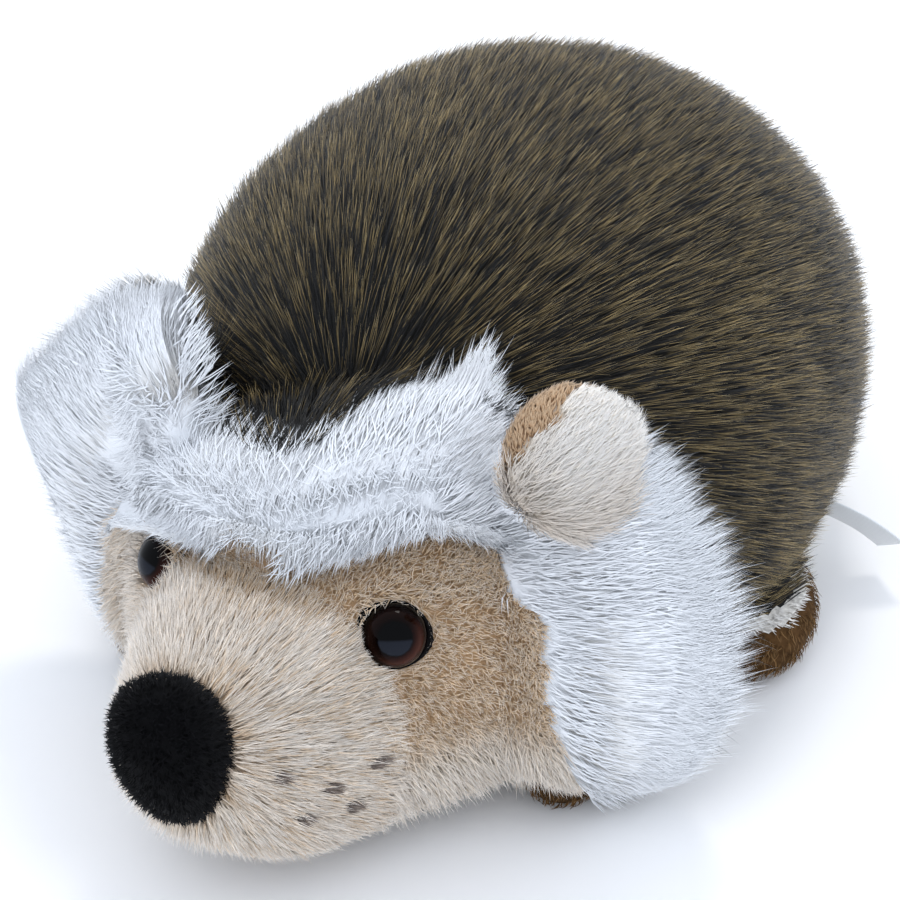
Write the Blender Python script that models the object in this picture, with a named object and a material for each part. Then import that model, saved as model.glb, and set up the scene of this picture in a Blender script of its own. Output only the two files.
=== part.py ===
"""Plush toy hedgehog resting on four stub feet, one closed solid for each sewn part.

Frame: metres, +Z up.  The toy faces -Y and its left side is at +X.  Heights are above the floor
and lengths along Y are counted back from the eyes; the last step moves the finished toy so that
the middle of its outline stands on the origin.  Every solid reaches out to the tips of its pile.
"""
import math

import bmesh
import bpy
from mathutils import Matrix, Vector

GAP = 0.0003                    # clearance kept between parts that touch
EYE_LEVEL = 0.050               # height of the eyes above the floor
EYE_LIFT = Vector((0.0, 0.0, EYE_LEVEL))

# Stuffed torso: an oval dome over a flatter belly.
TORSO_CENTRE_Y = 0.1010
TORSO_CENTRE_Z = 0.0400
TORSO_HALF_LENGTH = 0.0770
TORSO_HALF_WIDTH = 0.0680
TORSO_RISE = 0.0615
TORSO_DROP = 0.0370
TORSO_TOP_FULLNESS = 2.05       # exponent of the oval; 2 is an ellipse, more is squarer
TORSO_BASE_FULLNESS = 4.5
TORSO_END_FULLNESS = 2.2
TORSO_SEGMENTS = 40
TORSO_STATIONS = 20
SEAM_HEIGHT = 0.0150            # where the brown back meets the pale belly panel
SEAM_ARCH = 0.0020              # how much higher the seam runs at the front and the rump

# Head: stations from the nose end back into the torso,
# (y, half width, top height, bottom height), measured from the eyes.
HEAD_STATIONS = (
    (-0.0350, 0.0090, -0.0060, -0.0240),
    (-0.0310, 0.0145, 0.0010, -0.0320),
    (-0.0230, 0.0200, 0.0055, -0.0405),
    (-0.0120, 0.0250, 0.0080, -0.0450),
    (0.0000, 0.0300, 0.0100, -0.0458),
    (0.0120, 0.0395, 0.0130, -0.0460),
    (0.0260, 0.0460, 0.0170, -0.0460),
    (0.0420, 0.0480, 0.0140, -0.0450),
)
HEAD_FRONT_POLE = Vector((0.0, -0.0370, -0.0150))
HEAD_BACK_POLE = Vector((0.0, 0.0480, -0.0160))
HEAD_WIDEST = 0.42              # height of the widest level, as a share of the head's height
HEAD_TOP_FULLNESS = 2.1
HEAD_FRONT_FULLNESS = 2.0       # fullness below the widest level, at the nose and at the cheeks
HEAD_CHEEK_FULLNESS = 5.0
HEAD_SEGMENTS = 32
HEAD_RINGS = 16
MUZZLE_CUT_Y = -0.0060          # the cream muzzle is sewn on just ahead of the eyes

# Eyes: glossy domes on shanks.
EYE_RADIUS = 0.0064
EYE_SIDE = 0.0240
EYE_FORWARD = 0.0010
EYE_RISE = -0.0004

# Nose: a black plush cap, wide on top and narrow below.
NOSE_CENTRE = Vector((0.0, -0.0345, -0.0092))
NOSE_HALF_WIDTH = 0.0118
NOSE_HALF_HEIGHT = 0.0182
NOSE_HALF_DEPTH = 0.0105
NOSE_LEAN = math.radians(22)   # its foot is further back than its top
NOSE_TAPER = 0.30               # how much narrower the foot is than the top

# Ears: round, padded, facing outward and forward.
EAR_RADIUS = 0.0152
EAR_HALF_THICKNESS = 0.0068
EAR_LEFT_CENTRE = Vector((0.0472, 0.0250, 0.0295))
EAR_LEFT_FACING = Vector((0.77, -0.53, 0.36))
EAR_RIGHT_CENTRE = Vector((-0.0425, 0.0360, 0.0160))
EAR_RIGHT_FACING = Vector((-0.55, -0.75, 0.36))

# Ruff: long white pile that rings the face.  Each side is a fan,
# (angle above the side, inner radius, outer radius, inner y, outer y, thickness),
# with radii from the fan's centre line at RUFF_CENTRE_Z.
RUFF_CENTRE_Z = -0.0080
RUFF_LEFT_STATIONS = (
    (42.0, 0.0480, 0.0600, 0.0300, 0.0380, 0.0120),
    (28.0, 0.0440, 0.0700, 0.0280, 0.0380, 0.0170),
    (0.0, 0.0430, 0.0765, 0.0250, 0.0400, 0.0200),
    (-24.0, 0.0460, 0.0765, 0.0210, 0.0370, 0.0190),
    (-35.0, 0.0500, 0.0690, 0.0220, 0.0340, 0.0120),
)
RUFF_RIGHT_STATIONS = (
    (56.0, 0.0460, 0.0570, 0.0210, 0.0290, 0.0110),
    (44.0, 0.0420, 0.0650, 0.0200, 0.0300, 0.0160),
    (24.0, 0.0400, 0.0710, 0.0220, 0.0330, 0.0180),
    (8.0, 0.0400, 0.0785, 0.0240, 0.0360, 0.0190),
    (-10.0, 0.0420, 0.0690, 0.0220, 0.0350, 0.0190),
    (-28.0, 0.0450, 0.0590, 0.0200, 0.0300, 0.0160),
    (-40.0, 0.0480, 0.0540, 0.0200, 0.0260, 0.0090),
)
# The band over the forehead, from the right ear to the left,
# (x, front y, front z, back y, back z, thickness), measured from the eyes.
BAND_STATIONS = (
    (-0.0420, 0.0180, -0.0020, 0.0330, 0.0070, 0.0080),
    (-0.0220, 0.0040, 0.0080, 0.0300, 0.0130, 0.0130),
    (0.0000, -0.0040, 0.0090, 0.0330, 0.0230, 0.0150),
    (0.0220, 0.0130, 0.0140, 0.0350, 0.0290, 0.0140),
    (0.0420, 0.0260, 0.0060, 0.0360, 0.0180, 0.0080),
)
RUFF_SEGMENTS = 12
RUFF_RINGS = 12

# Feet: stub paws of short brown plush with flat soles.
FRONT_FOOT_PLACE = Vector((0.0440, 0.0320, 0.0))
FRONT_FOOT_HALF = Vector((0.0095, 0.0125, 0.0085))
HIND_FOOT_PLACE = Vector((0.0600, 0.0880, 0.0))
HIND_FOOT_HALF = Vector((0.0125, 0.0190, 0.0095))
FOOT_CENTRE_SHARE = 0.75        # height of the widest part, as a share of the half height
FOOT_TURN = math.radians(12)

# Sewn-in ribbon label at the left of the rump.
LABEL_WIDTH = 0.0100
LABEL_LENGTH = 0.0180
LABEL_THICKNESS = 0.0006
LABEL_ROOT = Vector((0.0630, 0.1160, 0.0165))
LABEL_HEADING = math.radians(16)
LABEL_ROLL = math.radians(52)   # the ribbon's front edge stands higher than its back edge
LABEL_SLOPE = (math.radians(22), math.radians(34))  # how steeply its ends run down
LABEL_STEPS = 8

# Working sizes.
SIDES = (("left", 1.0), ("right", -1.0))
BLOCK_REACH = 0.25              # half size of the blocks that part the torso and the head
SEAM_STEPS = 40
CREASE_ANGLE = math.radians(40)
LENS_INNER = 1.15               # a ruff's section is fatter at its inner edge than its outer
LENS_OUTER = 0.70
BALL_DETAIL = {"nose": (20, 10), "eye": (16, 8), "ear": (22, 10), "foot": (18, 9)}

# Which whole forms are cut out of each part, so that neighbours meet without overlap.
CUT_BY = {
    "ruff_top": ("torso",),
    "whole_head": ("torso", "ruff_top", "nose", "eye_left", "eye_right"),
    "ear_left": ("torso", "whole_head", "ruff_top"),
    "ear_right": ("torso", "whole_head", "ruff_top"),
    "ruff_left": ("torso", "whole_head", "ruff_top", "ear_left"),
    "ruff_right": ("torso", "whole_head", "ruff_top", "ear_right"),
    "foot_front_left": ("torso", "whole_head", "ruff_left"),
    "foot_front_right": ("torso", "whole_head", "ruff_right"),
    "foot_hind_left": ("torso",),
    "foot_hind_right": ("torso",),
    "label": ("torso",),
}

# Finishes (colour, roughness), and the finish of each part by the first word of its name.
FINISHES = {
    "back_plush": ((0.160, 0.130, 0.080), 0.90),
    "ruff_plush": ((0.860, 0.890, 0.930), 0.95),
    "belly_plush": ((0.850, 0.820, 0.750), 0.95),
    "face_plush": ((0.600, 0.440, 0.280), 0.95),
    "muzzle_plush": ((0.820, 0.680, 0.500), 0.95),
    "ear_plush": ((0.720, 0.580, 0.420), 0.95),
    "foot_plush": ((0.130, 0.060, 0.030), 0.95),
    "nose_plush": ((0.010, 0.010, 0.012), 0.90),
    "eye_plastic": ((0.030, 0.008, 0.005), 0.08),
    "label_ribbon": ((0.600, 0.620, 0.620), 0.45),
}
MATERIAL_OF = {
    "back": "back_plush", "belly": "belly_plush", "ruff": "ruff_plush", "head": "face_plush",
    "muzzle": "muzzle_plush", "ear": "ear_plush", "foot": "foot_plush", "nose": "nose_plush",
    "eye": "eye_plastic", "label": "label_ribbon",
}


def clear_objects():
    for obj in list(bpy.data.objects):
        bpy.data.objects.remove(obj, do_unlink=True)


def finish(name, colour, roughness):
    """A plain Principled material."""
    material = bpy.data.materials.new(name)
    material.use_nodes = True
    shader = material.node_tree.nodes["Principled BSDF"]
    shader.inputs["Base Color"].default_value = (*colour, 1.0)
    shader.inputs["Roughness"].default_value = roughness
    shader.inputs["Metallic"].default_value = 0.0
    material.diffuse_color = (*colour, 1.0)
    return material


def signed_power(value, power):
    return math.copysign(abs(value) ** power, value)


def make_object(name, mesh_data):
    mesh = bpy.data.meshes.new(name)
    mesh_data.to_mesh(mesh)
    mesh_data.free()
    obj = bpy.data.objects.new(name, mesh)
    bpy.context.collection.objects.link(obj)
    return obj


def solid(name, rings, first_pole, last_pole):
    """Close a row of equal loops with a point at each end and make the object."""
    mesh_data = bmesh.new()
    loops = [[mesh_data.verts.new(point) for point in ring] for ring in rings]
    count = len(loops[0])
    for near, far in zip(loops, loops[1:]):
        for i in range(count):
            j = (i + 1) % count
            mesh_data.faces.new((near[i], near[j], far[j], far[i]))
    for loop, pole in ((loops[0], first_pole), (loops[-1], last_pole)):
        tip = mesh_data.verts.new(pole)
        for i in range(count):
            mesh_data.faces.new((loop[i], loop[(i + 1) % count], tip))
    bmesh.ops.recalc_face_normals(mesh_data, faces=mesh_data.faces)
    bmesh.ops.triangulate(mesh_data, faces=mesh_data.faces)
    return make_object(name, mesh_data)


def oval(half_width, rise, drop, top_fullness, base_fullness, count):
    """Points (x, z) of an oval with its own height and fullness above and below the middle."""
    points = []
    for i in range(count):
        angle = 2.0 * math.pi * i / count
        if math.sin(angle) > 0.0:
            height, power = rise, 2.0 / top_fullness
        else:
            height, power = drop, 2.0 / base_fullness
        points.append((half_width * signed_power(math.cos(angle), power),
                       height * signed_power(math.sin(angle), power)))
    return points


def smooth_row(stations, count):
    """Read count evenly spaced rows from a smooth curve through the stations."""
    rows = []
    spans = len(stations) - 1
    for i in range(count):
        place = spans * i / (count - 1)
        k = min(int(place), spans - 1)
        t = place - k
        before = stations[max(k - 1, 0)]
        after = stations[min(k + 2, spans)]
        row = []
        for a, b, c, d in zip(before, stations[k], stations[k + 1], after):
            row.append(0.5 * (2.0 * b + (c - a) * t + (2.0 * a - 5.0 * b + 4.0 * c - d) * t ** 2
                              + (3.0 * b - a - 3.0 * c + d) * t ** 3))
        rows.append(row)
    return rows


def duplicate(obj, name):
    """A free copy of the object and its mesh."""
    copy = bpy.data.objects.new(name, obj.data.copy())
    bpy.context.collection.objects.link(copy)
    return copy


def swell(obj, distance):
    """Move every vertex outward along its normal."""
    normals = [vertex.normal.copy() for vertex in obj.data.vertices]
    for vertex, normal in zip(obj.data.vertices, normals):
        vertex.co += normal * distance
    obj.data.update()


def subtract(target, tool):
    """Take the tool out of the target with an exact boolean, and remove the tool."""
    modifier = target.modifiers.new("cut", "BOOLEAN")
    modifier.operation = "DIFFERENCE"
    modifier.solver = "EXACT"
    modifier.object = tool
    graph = bpy.context.evaluated_depsgraph_get()
    mesh = bpy.data.meshes.new_from_object(target.evaluated_get(graph))
    target.modifiers.remove(modifier)
    target.data = mesh
    bpy.data.objects.remove(tool, do_unlink=True)


def carve(target, neighbours):
    """Cut the neighbours' whole forms out of the target, leaving the working gap."""
    for neighbour in neighbours:
        tool = duplicate(neighbour, neighbour.name + "_tool")
        swell(tool, GAP)
        subtract(target, tool)


def keep_largest(obj):
    """Drop loose crumbs that a cut may leave."""
    mesh_data = bmesh.new()
    mesh_data.from_mesh(obj.data)
    unseen = set(mesh_data.verts)
    bodies = []
    while unseen:
        stack = [unseen.pop()]
        body = set(stack)
        while stack:
            for edge in stack.pop().link_edges:
                for vertex in edge.verts:
                    if vertex in unseen:
                        unseen.remove(vertex)
                        body.add(vertex)
                        stack.append(vertex)
        bodies.append(body)
    bodies.sort(key=len)
    for body in bodies[:-1]:
        bmesh.ops.delete(mesh_data, geom=list(body), context="VERTS")
    mesh_data.to_mesh(obj.data)
    mesh_data.free()


def block(name, low, high):
    """A plain box between two corners."""
    mesh_data = bmesh.new()
    bmesh.ops.create_cube(mesh_data, size=1.0)
    for vertex in mesh_data.verts:
        vertex.co = Vector([low[k] + (vertex.co[k] + 0.5) * (high[k] - low[k]) for k in range(3)])
    return make_object(name, mesh_data)


def torso_form(name):
    power = 2.0 / TORSO_END_FULLNESS
    section = oval(TORSO_HALF_WIDTH, TORSO_RISE, TORSO_DROP, TORSO_TOP_FULLNESS,
                   TORSO_BASE_FULLNESS, TORSO_SEGMENTS)
    rings = []
    for i in range(1, TORSO_STATIONS):
        angle = math.pi * i / TORSO_STATIONS
        y = TORSO_CENTRE_Y - TORSO_HALF_LENGTH * signed_power(math.cos(angle), power)
        scale = math.sin(angle) ** power
        rings.append([Vector((x * scale, y, TORSO_CENTRE_Z + z * scale)) for x, z in section])
    middle = Vector((0.0, TORSO_CENTRE_Y, TORSO_CENTRE_Z))
    reach = Vector((0.0, TORSO_HALF_LENGTH, 0.0))
    return solid(name, rings, middle - reach, middle + reach)


def head_form(name):
    rings = []
    for k, (y, half_width, top, bottom) in enumerate(smooth_row(HEAD_STATIONS, HEAD_RINGS)):
        drop = HEAD_WIDEST * (top - bottom)
        share = k / (HEAD_RINGS - 1)
        base_fullness = HEAD_FRONT_FULLNESS + (HEAD_CHEEK_FULLNESS - HEAD_FRONT_FULLNESS) * share
        section = oval(half_width, top - bottom - drop, drop, HEAD_TOP_FULLNESS,
                       base_fullness, HEAD_SEGMENTS)
        rings.append([Vector((x, y, EYE_LEVEL + bottom + drop + z)) for x, z in section])
    return solid(name, rings, HEAD_FRONT_POLE + EYE_LIFT, HEAD_BACK_POLE + EYE_LIFT)


def ellipsoid(name, half, taper=0.0):
    """A ball stretched to three half sizes round the origin; taper narrows its foot along X."""
    segments, stations = BALL_DETAIL[name.split("_")[0]]

    def point(polar, turn):
        x, y, z = math.sin(polar) * math.cos(turn), math.sin(polar) * math.sin(turn), math.cos(polar)
        return Vector((x * half[0] * (1.0 - taper * 0.5 * (1.0 - z)), y * half[1], z * half[2]))

    rings = [[point(math.pi * i / stations, 2.0 * math.pi * j / segments) for j in range(segments)]
             for i in range(1, stations)]
    return solid(name, rings, point(0.0, 0.0), point(math.pi, 0.0))


def place(obj, centre, turn=Matrix()):
    """Turn the mesh about the origin and move it, then hand the object back."""
    obj.data.transform(Matrix.Translation(centre) @ turn)
    return obj


def nose_form(name):
    obj = ellipsoid(name, (NOSE_HALF_WIDTH, NOSE_HALF_DEPTH, NOSE_HALF_HEIGHT), NOSE_TAPER)
    return place(obj, NOSE_CENTRE + EYE_LIFT, Matrix.Rotation(NOSE_LEAN, 4, "X"))


def eye_form(name, side):
    centre = Vector((side * EYE_SIDE, EYE_FORWARD, EYE_RISE))
    return place(ellipsoid(name, (EYE_RADIUS,) * 3), centre + EYE_LIFT)


def ear_form(name, centre, facing):
    """A padded round ear: a thick lens whose short axis looks along facing."""
    obj = ellipsoid(name, (EAR_RADIUS, EAR_RADIUS, EAR_HALF_THICKNESS))
    return place(obj, centre + EYE_LIFT, facing.to_track_quat("Z", "Y").to_matrix().to_4x4())


def swept_lens(name, chords):
    """A body whose sections are lenses laid on chords (inner point, outer point, thickness)."""
    middles = [(inner + outer) * 0.5 for inner, outer, _ in chords]
    rings = []
    last = len(chords) - 1
    for k, (inner, outer, thickness) in enumerate(chords):
        along = middles[min(k + 1, last)] - middles[max(k - 1, 0)]
        across = (outer - inner).cross(along).normalized()
        ring = []
        for i in range(RUFF_SEGMENTS):
            turn = 2.0 * math.pi * i / RUFF_SEGMENTS
            share = 0.5 - 0.5 * math.cos(turn)
            fat = 0.5 * thickness * math.sin(turn) * (LENS_INNER + (LENS_OUTER - LENS_INNER) * share)
            ring.append(inner.lerp(outer, share) + across * fat)
        rings.append(ring)
    return solid(name, rings, middles[0], middles[-1])


def side_ruff_form(name, side, stations):
    chords = []
    for angle, inner, outer, inner_y, outer_y, thickness in smooth_row(stations, RUFF_RINGS):
        turn = math.radians(angle)
        ray = Vector((side * math.cos(turn), 0.0, math.sin(turn)))
        foot = Vector((0.0, 0.0, EYE_LEVEL + RUFF_CENTRE_Z))
        chords.append((foot + ray * inner + Vector((0.0, inner_y, 0.0)),
                       foot + ray * outer + Vector((0.0, outer_y, 0.0)), thickness))
    return swept_lens(name, chords)


def band_form(name):
    """The arch of long pile over the forehead, from one ear to the other."""
    chords = []
    for x, front_y, front_z, back_y, back_z, thickness in smooth_row(BAND_STATIONS, RUFF_RINGS):
        chords.append((Vector((x, front_y, EYE_LEVEL + front_z)),
                       Vector((x, back_y, EYE_LEVEL + back_z)), thickness))
    return swept_lens(name, chords)


def foot_form(name, spot, half, side):
    """A flattened ball cut level with the floor, its toe turned outward."""
    centre = Vector((side * spot.x, spot.y, half.z * FOOT_CENTRE_SHARE))
    obj = place(ellipsoid(name, half), centre, Matrix.Rotation(side * FOOT_TURN, 4, "Z"))
    reach = BLOCK_REACH
    subtract(obj, block("floor_tool", (-reach, -reach, -reach), (reach, reach, 0.0)))
    return obj


def label_form(name):
    """A short ribbon that leaves the seam and droops."""
    heading = Vector((math.cos(LABEL_HEADING), math.sin(LABEL_HEADING), 0.0))
    side = Vector((heading.y, -heading.x, 0.0))
    point = LABEL_ROOT.copy()
    rings = []
    for k in range(LABEL_STEPS + 1):
        slope = LABEL_SLOPE[0] + (LABEL_SLOPE[1] - LABEL_SLOPE[0]) * k / LABEL_STEPS
        along = heading * math.cos(slope) - Vector((0.0, 0.0, math.sin(slope)))
        level = side.cross(along)
        across = (side * math.cos(LABEL_ROLL) + level * math.sin(LABEL_ROLL)) * (0.5 * LABEL_WIDTH)
        half = along.cross(across).normalized() * (0.5 * LABEL_THICKNESS)
        rings.append([point - across - half, point + across - half,
                      point + across + half, point - across + half])
        point = point + along * (LABEL_LENGTH / LABEL_STEPS)
    ends = [sum(ring, Vector()) / 4.0 for ring in (rings[0], rings[-1])]
    return solid(name, rings, ends[0], ends[1])


def seam_block(name, offset, up):
    """A block whose one face is the arched belly seam; up is +1 when it fills the space above."""
    rings = []
    for i in range(SEAM_STEPS + 1):
        run = 2.0 * i / SEAM_STEPS - 1.0
        y = TORSO_CENTRE_Y + BLOCK_REACH * run
        arch = SEAM_ARCH * (run * BLOCK_REACH / TORSO_HALF_LENGTH) ** 2
        low = SEAM_HEIGHT + arch + offset
        high = low + up * BLOCK_REACH
        rings.append([Vector((-BLOCK_REACH, y, low)), Vector((BLOCK_REACH, y, low)),
                      Vector((BLOCK_REACH, y, high)), Vector((-BLOCK_REACH, y, high))])
    ends = [sum(ring, Vector()) / 4.0 for ring in (rings[0], rings[-1])]
    return solid(name, rings, ends[0], ends[1])


def part_torso(torso):
    """Part the torso along the belly seam into the brown back and the pale belly."""
    back = duplicate(torso, "back_coat")
    subtract(back, seam_block("seam_tool", 0.5 * GAP, -1.0))
    torso.name = "belly"
    subtract(torso, seam_block("seam_tool", -0.5 * GAP, 1.0))
    return back, torso


def part_head(whole_head):
    """Part the head ahead of the eyes into the muzzle and the rest."""
    reach = BLOCK_REACH
    muzzle = duplicate(whole_head, "muzzle")
    behind = block("muzzle_tool", (-reach, MUZZLE_CUT_Y, -reach), (reach, reach, reach))
    subtract(muzzle, behind)
    whole_head.name = "head"
    ahead = block("muzzle_tool", (-reach, -reach, -reach), (reach, MUZZLE_CUT_Y + GAP, reach))
    subtract(whole_head, ahead)
    return muzzle, whole_head


def make_forms():
    """Every part in its whole shape, before its neighbours are cut out of it."""
    forms = [torso_form("torso"), head_form("whole_head"), band_form("ruff_top"), nose_form("nose"),
             side_ruff_form("ruff_left", 1.0, RUFF_LEFT_STATIONS),
             side_ruff_form("ruff_right", -1.0, RUFF_RIGHT_STATIONS),
             ear_form("ear_left", EAR_LEFT_CENTRE, EAR_LEFT_FACING),
             ear_form("ear_right", EAR_RIGHT_CENTRE, EAR_RIGHT_FACING), label_form("label")]
    for word, side in SIDES:
        forms.append(eye_form("eye_" + word, side))
        forms.append(foot_form("foot_front_" + word, FRONT_FOOT_PLACE, FRONT_FOOT_HALF, side))
        forms.append(foot_form("foot_hind_" + word, HIND_FOOT_PLACE, HIND_FOOT_HALF, side))
    return {form.name: form for form in forms}


def stand_on_origin(parts):
    """Bring the middle of the toy's outline over the origin."""
    points = [vertex.co for part in parts for vertex in part.data.vertices]
    middle = [0.5 * (min(p[k] for p in points) + max(p[k] for p in points)) for k in range(2)]
    shift = Matrix.Translation(Vector((-middle[0], -middle[1], 0.0)))
    for part in parts:
        part.data.transform(shift)


def main():
    clear_objects()
    forms = make_forms()
    parts = []
    for name, form in forms.items():
        part = duplicate(form, name + "_part")
        carve(part, [forms[other] for other in CUT_BY.get(name, ())])
        parts.append(part)
    for part, name in zip(parts, list(forms)):
        bpy.data.objects.remove(forms[name], do_unlink=True)
        part.name = name
    named = {part.name: part for part in parts}
    parts += [part_torso(named["torso"])[0], part_head(named["whole_head"])[0]]

    materials = {name: finish(name, *values) for name, values in FINISHES.items()}
    for part in parts:
        keep_largest(part)
        part.data.materials.clear()
        part.data.materials.append(materials[MATERIAL_OF[part.name.split("_")[0]]])
        part.data.shade_smooth()
        part.data.set_sharp_from_angle(angle=CREASE_ANGLE)
    stand_on_origin(parts)


main()
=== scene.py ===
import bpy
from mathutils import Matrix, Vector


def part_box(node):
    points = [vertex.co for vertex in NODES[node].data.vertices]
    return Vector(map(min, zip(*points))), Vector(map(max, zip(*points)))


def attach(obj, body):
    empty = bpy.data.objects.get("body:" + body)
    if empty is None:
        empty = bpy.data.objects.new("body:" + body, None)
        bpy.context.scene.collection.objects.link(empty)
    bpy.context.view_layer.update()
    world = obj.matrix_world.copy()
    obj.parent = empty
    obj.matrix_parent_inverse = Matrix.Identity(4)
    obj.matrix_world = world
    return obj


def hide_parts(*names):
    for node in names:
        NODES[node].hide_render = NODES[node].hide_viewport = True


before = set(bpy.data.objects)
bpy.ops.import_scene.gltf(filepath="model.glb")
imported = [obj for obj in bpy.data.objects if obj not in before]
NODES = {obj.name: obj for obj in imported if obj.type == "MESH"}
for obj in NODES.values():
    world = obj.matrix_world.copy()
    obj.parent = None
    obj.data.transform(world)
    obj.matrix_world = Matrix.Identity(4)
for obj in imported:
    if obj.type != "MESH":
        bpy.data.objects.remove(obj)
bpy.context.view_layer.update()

import math

import bmesh
import bpy
import numpy as np
from mathutils import Matrix, Vector
from mathutils.bvhtree import BVHTree

# A plush toy hedgehog: one sewn skin, and its pile as solid tufts in a few coat pieces.
# Positions are measured from the middle between the eyes, in metres, unless a name says otherwise.

SEED = 20

# ---------------------------------------------------------------- sizes carried over from the solids
EYE_FORWARD, EYE_RISE = 0.0010, -0.0004
EYE_BOXES = [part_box("eye_left"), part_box("eye_right")]
EYE_MIDDLES = [(low + high) * 0.5 for low, high in EYE_BOXES]
EYE_RADIUS = 0.5 * (EYE_BOXES[0][1].x - EYE_BOXES[0][0].x)
DOME_RADIUS = 0.92 * EYE_RADIUS         # what the pile leaves of the eye
ORIGIN = (EYE_MIDDLES[0] + EYE_MIDDLES[1]) * 0.5 - Vector((0.0, EYE_FORWARD, EYE_RISE))
O = np.array(ORIGIN)

SIDES = {"left": 1.0, "right": -1.0}
EYES = {side: np.array(middle) - O for side, middle in zip(SIDES, EYE_MIDDLES)}
EYE_LOOK = {side: Vector((0.44 * sign, -0.76, 0.48)).normalized() for side, sign in SIDES.items()}
EYE_SINK = {"left": 0.0, "right": 0.0016}       # the far eye is pulled deeper into the pile

RUFF_CENTRE_Z = -0.0080
# Down each cheek: turn round the head in degrees, inner and outer radius, how far back each of them
# lies, and the thickness.
FAN_STATIONS = {
    "left": ((42.0, 0.0480, 0.0600, 0.0300, 0.0380, 0.0120),
             (28.0, 0.0440, 0.0700, 0.0280, 0.0380, 0.0170),
             (0.0, 0.0430, 0.0765, 0.0250, 0.0400, 0.0200),
             (-24.0, 0.0460, 0.0765, 0.0210, 0.0370, 0.0190),
             (-35.0, 0.0500, 0.0690, 0.0220, 0.0340, 0.0120)),
    "right": ((56.0, 0.0460, 0.0570, 0.0210, 0.0290, 0.0110),
              (44.0, 0.0420, 0.0650, 0.0200, 0.0300, 0.0160),
              (24.0, 0.0400, 0.0710, 0.0220, 0.0330, 0.0180),
              (8.0, 0.0400, 0.0785, 0.0240, 0.0360, 0.0190),
              (-10.0, 0.0420, 0.0690, 0.0220, 0.0350, 0.0190),
              (-28.0, 0.0450, 0.0590, 0.0200, 0.0300, 0.0160),
              (-40.0, 0.0480, 0.0540, 0.0200, 0.0260, 0.0090)),
}
# Over the forehead: x, then y and z of the front edge, y and z of the back edge, and the thickness.
BAND_STATIONS = ((-0.0420, 0.0180, -0.0020, 0.0330, 0.0070, 0.0080),
                 (-0.0220, 0.0040, 0.0080, 0.0300, 0.0130, 0.0130),
                 (0.0000, -0.0040, 0.0090, 0.0330, 0.0230, 0.0150),
                 (0.0220, 0.0130, 0.0140, 0.0350, 0.0290, 0.0140),
                 (0.0420, 0.0260, 0.0060, 0.0360, 0.0180, 0.0080))
LENS_INNER, LENS_OUTER = 1.15, 0.70             # the ruff is fuller at its inner edge than at its outer one
# How far the band's pile reaches forward over the brow and back over the brown coat, in shares of its
# width, at even steps from the far end to the near one.
BAND_BROW = (-0.55, -0.42, -0.30, -0.18, 0.04, 0.07, -0.06, -0.13, -0.04, -0.10, -0.15)
BAND_BACK = (0.76, 0.72, 0.66, 0.52, 0.44, 0.46, 0.86, 1.00, 1.02, 0.96, 0.90)
QUIFF_AT, QUIFF_WIDE, QUIFF_REACH = 0.735, 0.042, 0.32      # one pointed lock beside the ear
# The middle of each ear, and the way it faces.
EARS = {"left": (np.array((0.0461, 0.0250, 0.0297)), np.array((0.77, -0.53, 0.36))),
        "right": (np.array((-0.0440, 0.0330, 0.0272)), np.array((-0.55, -0.75, 0.36)))}
EAR_SHARE = {"left": 1.0, "right": 0.50}        # the far ear is squeezed between the back and the ruff
# Where the cheek's tan pile ends on the ruff's front: share of the ruff's width against the turn round
# the head in degrees.
CHEEK_EDGE = ((-34.0, 0.60), (-30.0, 0.43), (-25.0, 0.28), (-17.0, 0.16), (-10.0, 0.08), (0.0, 0.055),
              (8.0, 0.01), (13.5, -0.10), (20.0, -0.40))
NOSE_CENTRE = np.array((0.0, -0.0345, -0.0092))

# ---------------------------------------------------------------- skin
BODY_NODES = ("back_coat", "belly", "head", "muzzle", "nose", "eye_left", "eye_right",
              "foot_front_left", "foot_front_right", "foot_hind_left", "foot_hind_right")
SWELL = 0.0005                  # closes the working gaps between the solids
VOXEL = 0.0016                  # the skin's grid
PILE_DEPTH = {"back_coat": 0.0052, "belly": 0.0030, "head": 0.0026, "muzzle": 0.0034, "nose": 0.0040,
              "eye": 0.0035, "foot": 0.0010}
EAR_SKIN_RADIUS, EAR_SKIN_HALF = 0.0128, 0.0044
STALK_REACH = 0.011             # from the middle of the ear to the middle of its stalk
EAR_LINING_REACH = 0.0060       # the tan rim shows beside the cream lining
CORE_REACH = 0.80               # how far out the sewn flap of the ruff reaches, as a share of the fan
CORE_FAT = 0.90                 # its thickness, as a share of the fan's
CORE_FRONT = -0.28              # the flap's inner edge, inside the head
FLAP_START = -0.26              # the innermost pile of the fans
FAN_START = {"left": 0.02, "right": 0.07}       # the far fan's top is lost behind the brown back
FLAP_END = 0.98                 # how far along the ruff the flaps run
# The band's flap, as core_lens takes it, is set a little into the head and narrower at its ends.
BAND_FLAP = {"start": 0.02, "front": 0.02, "back": 0.95, "fat": 0.93, "sink": 0.0005, "pinch": 0.8}
# The white hair under the near ear comes down over the head to these heights, by distance from the middle.
UNDER_EAR = ((0.0240, 0.0100), (0.0290, 0.0075), (0.0344, 0.0034), (0.0403, -0.0019), (0.0470, -0.0010))

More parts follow.
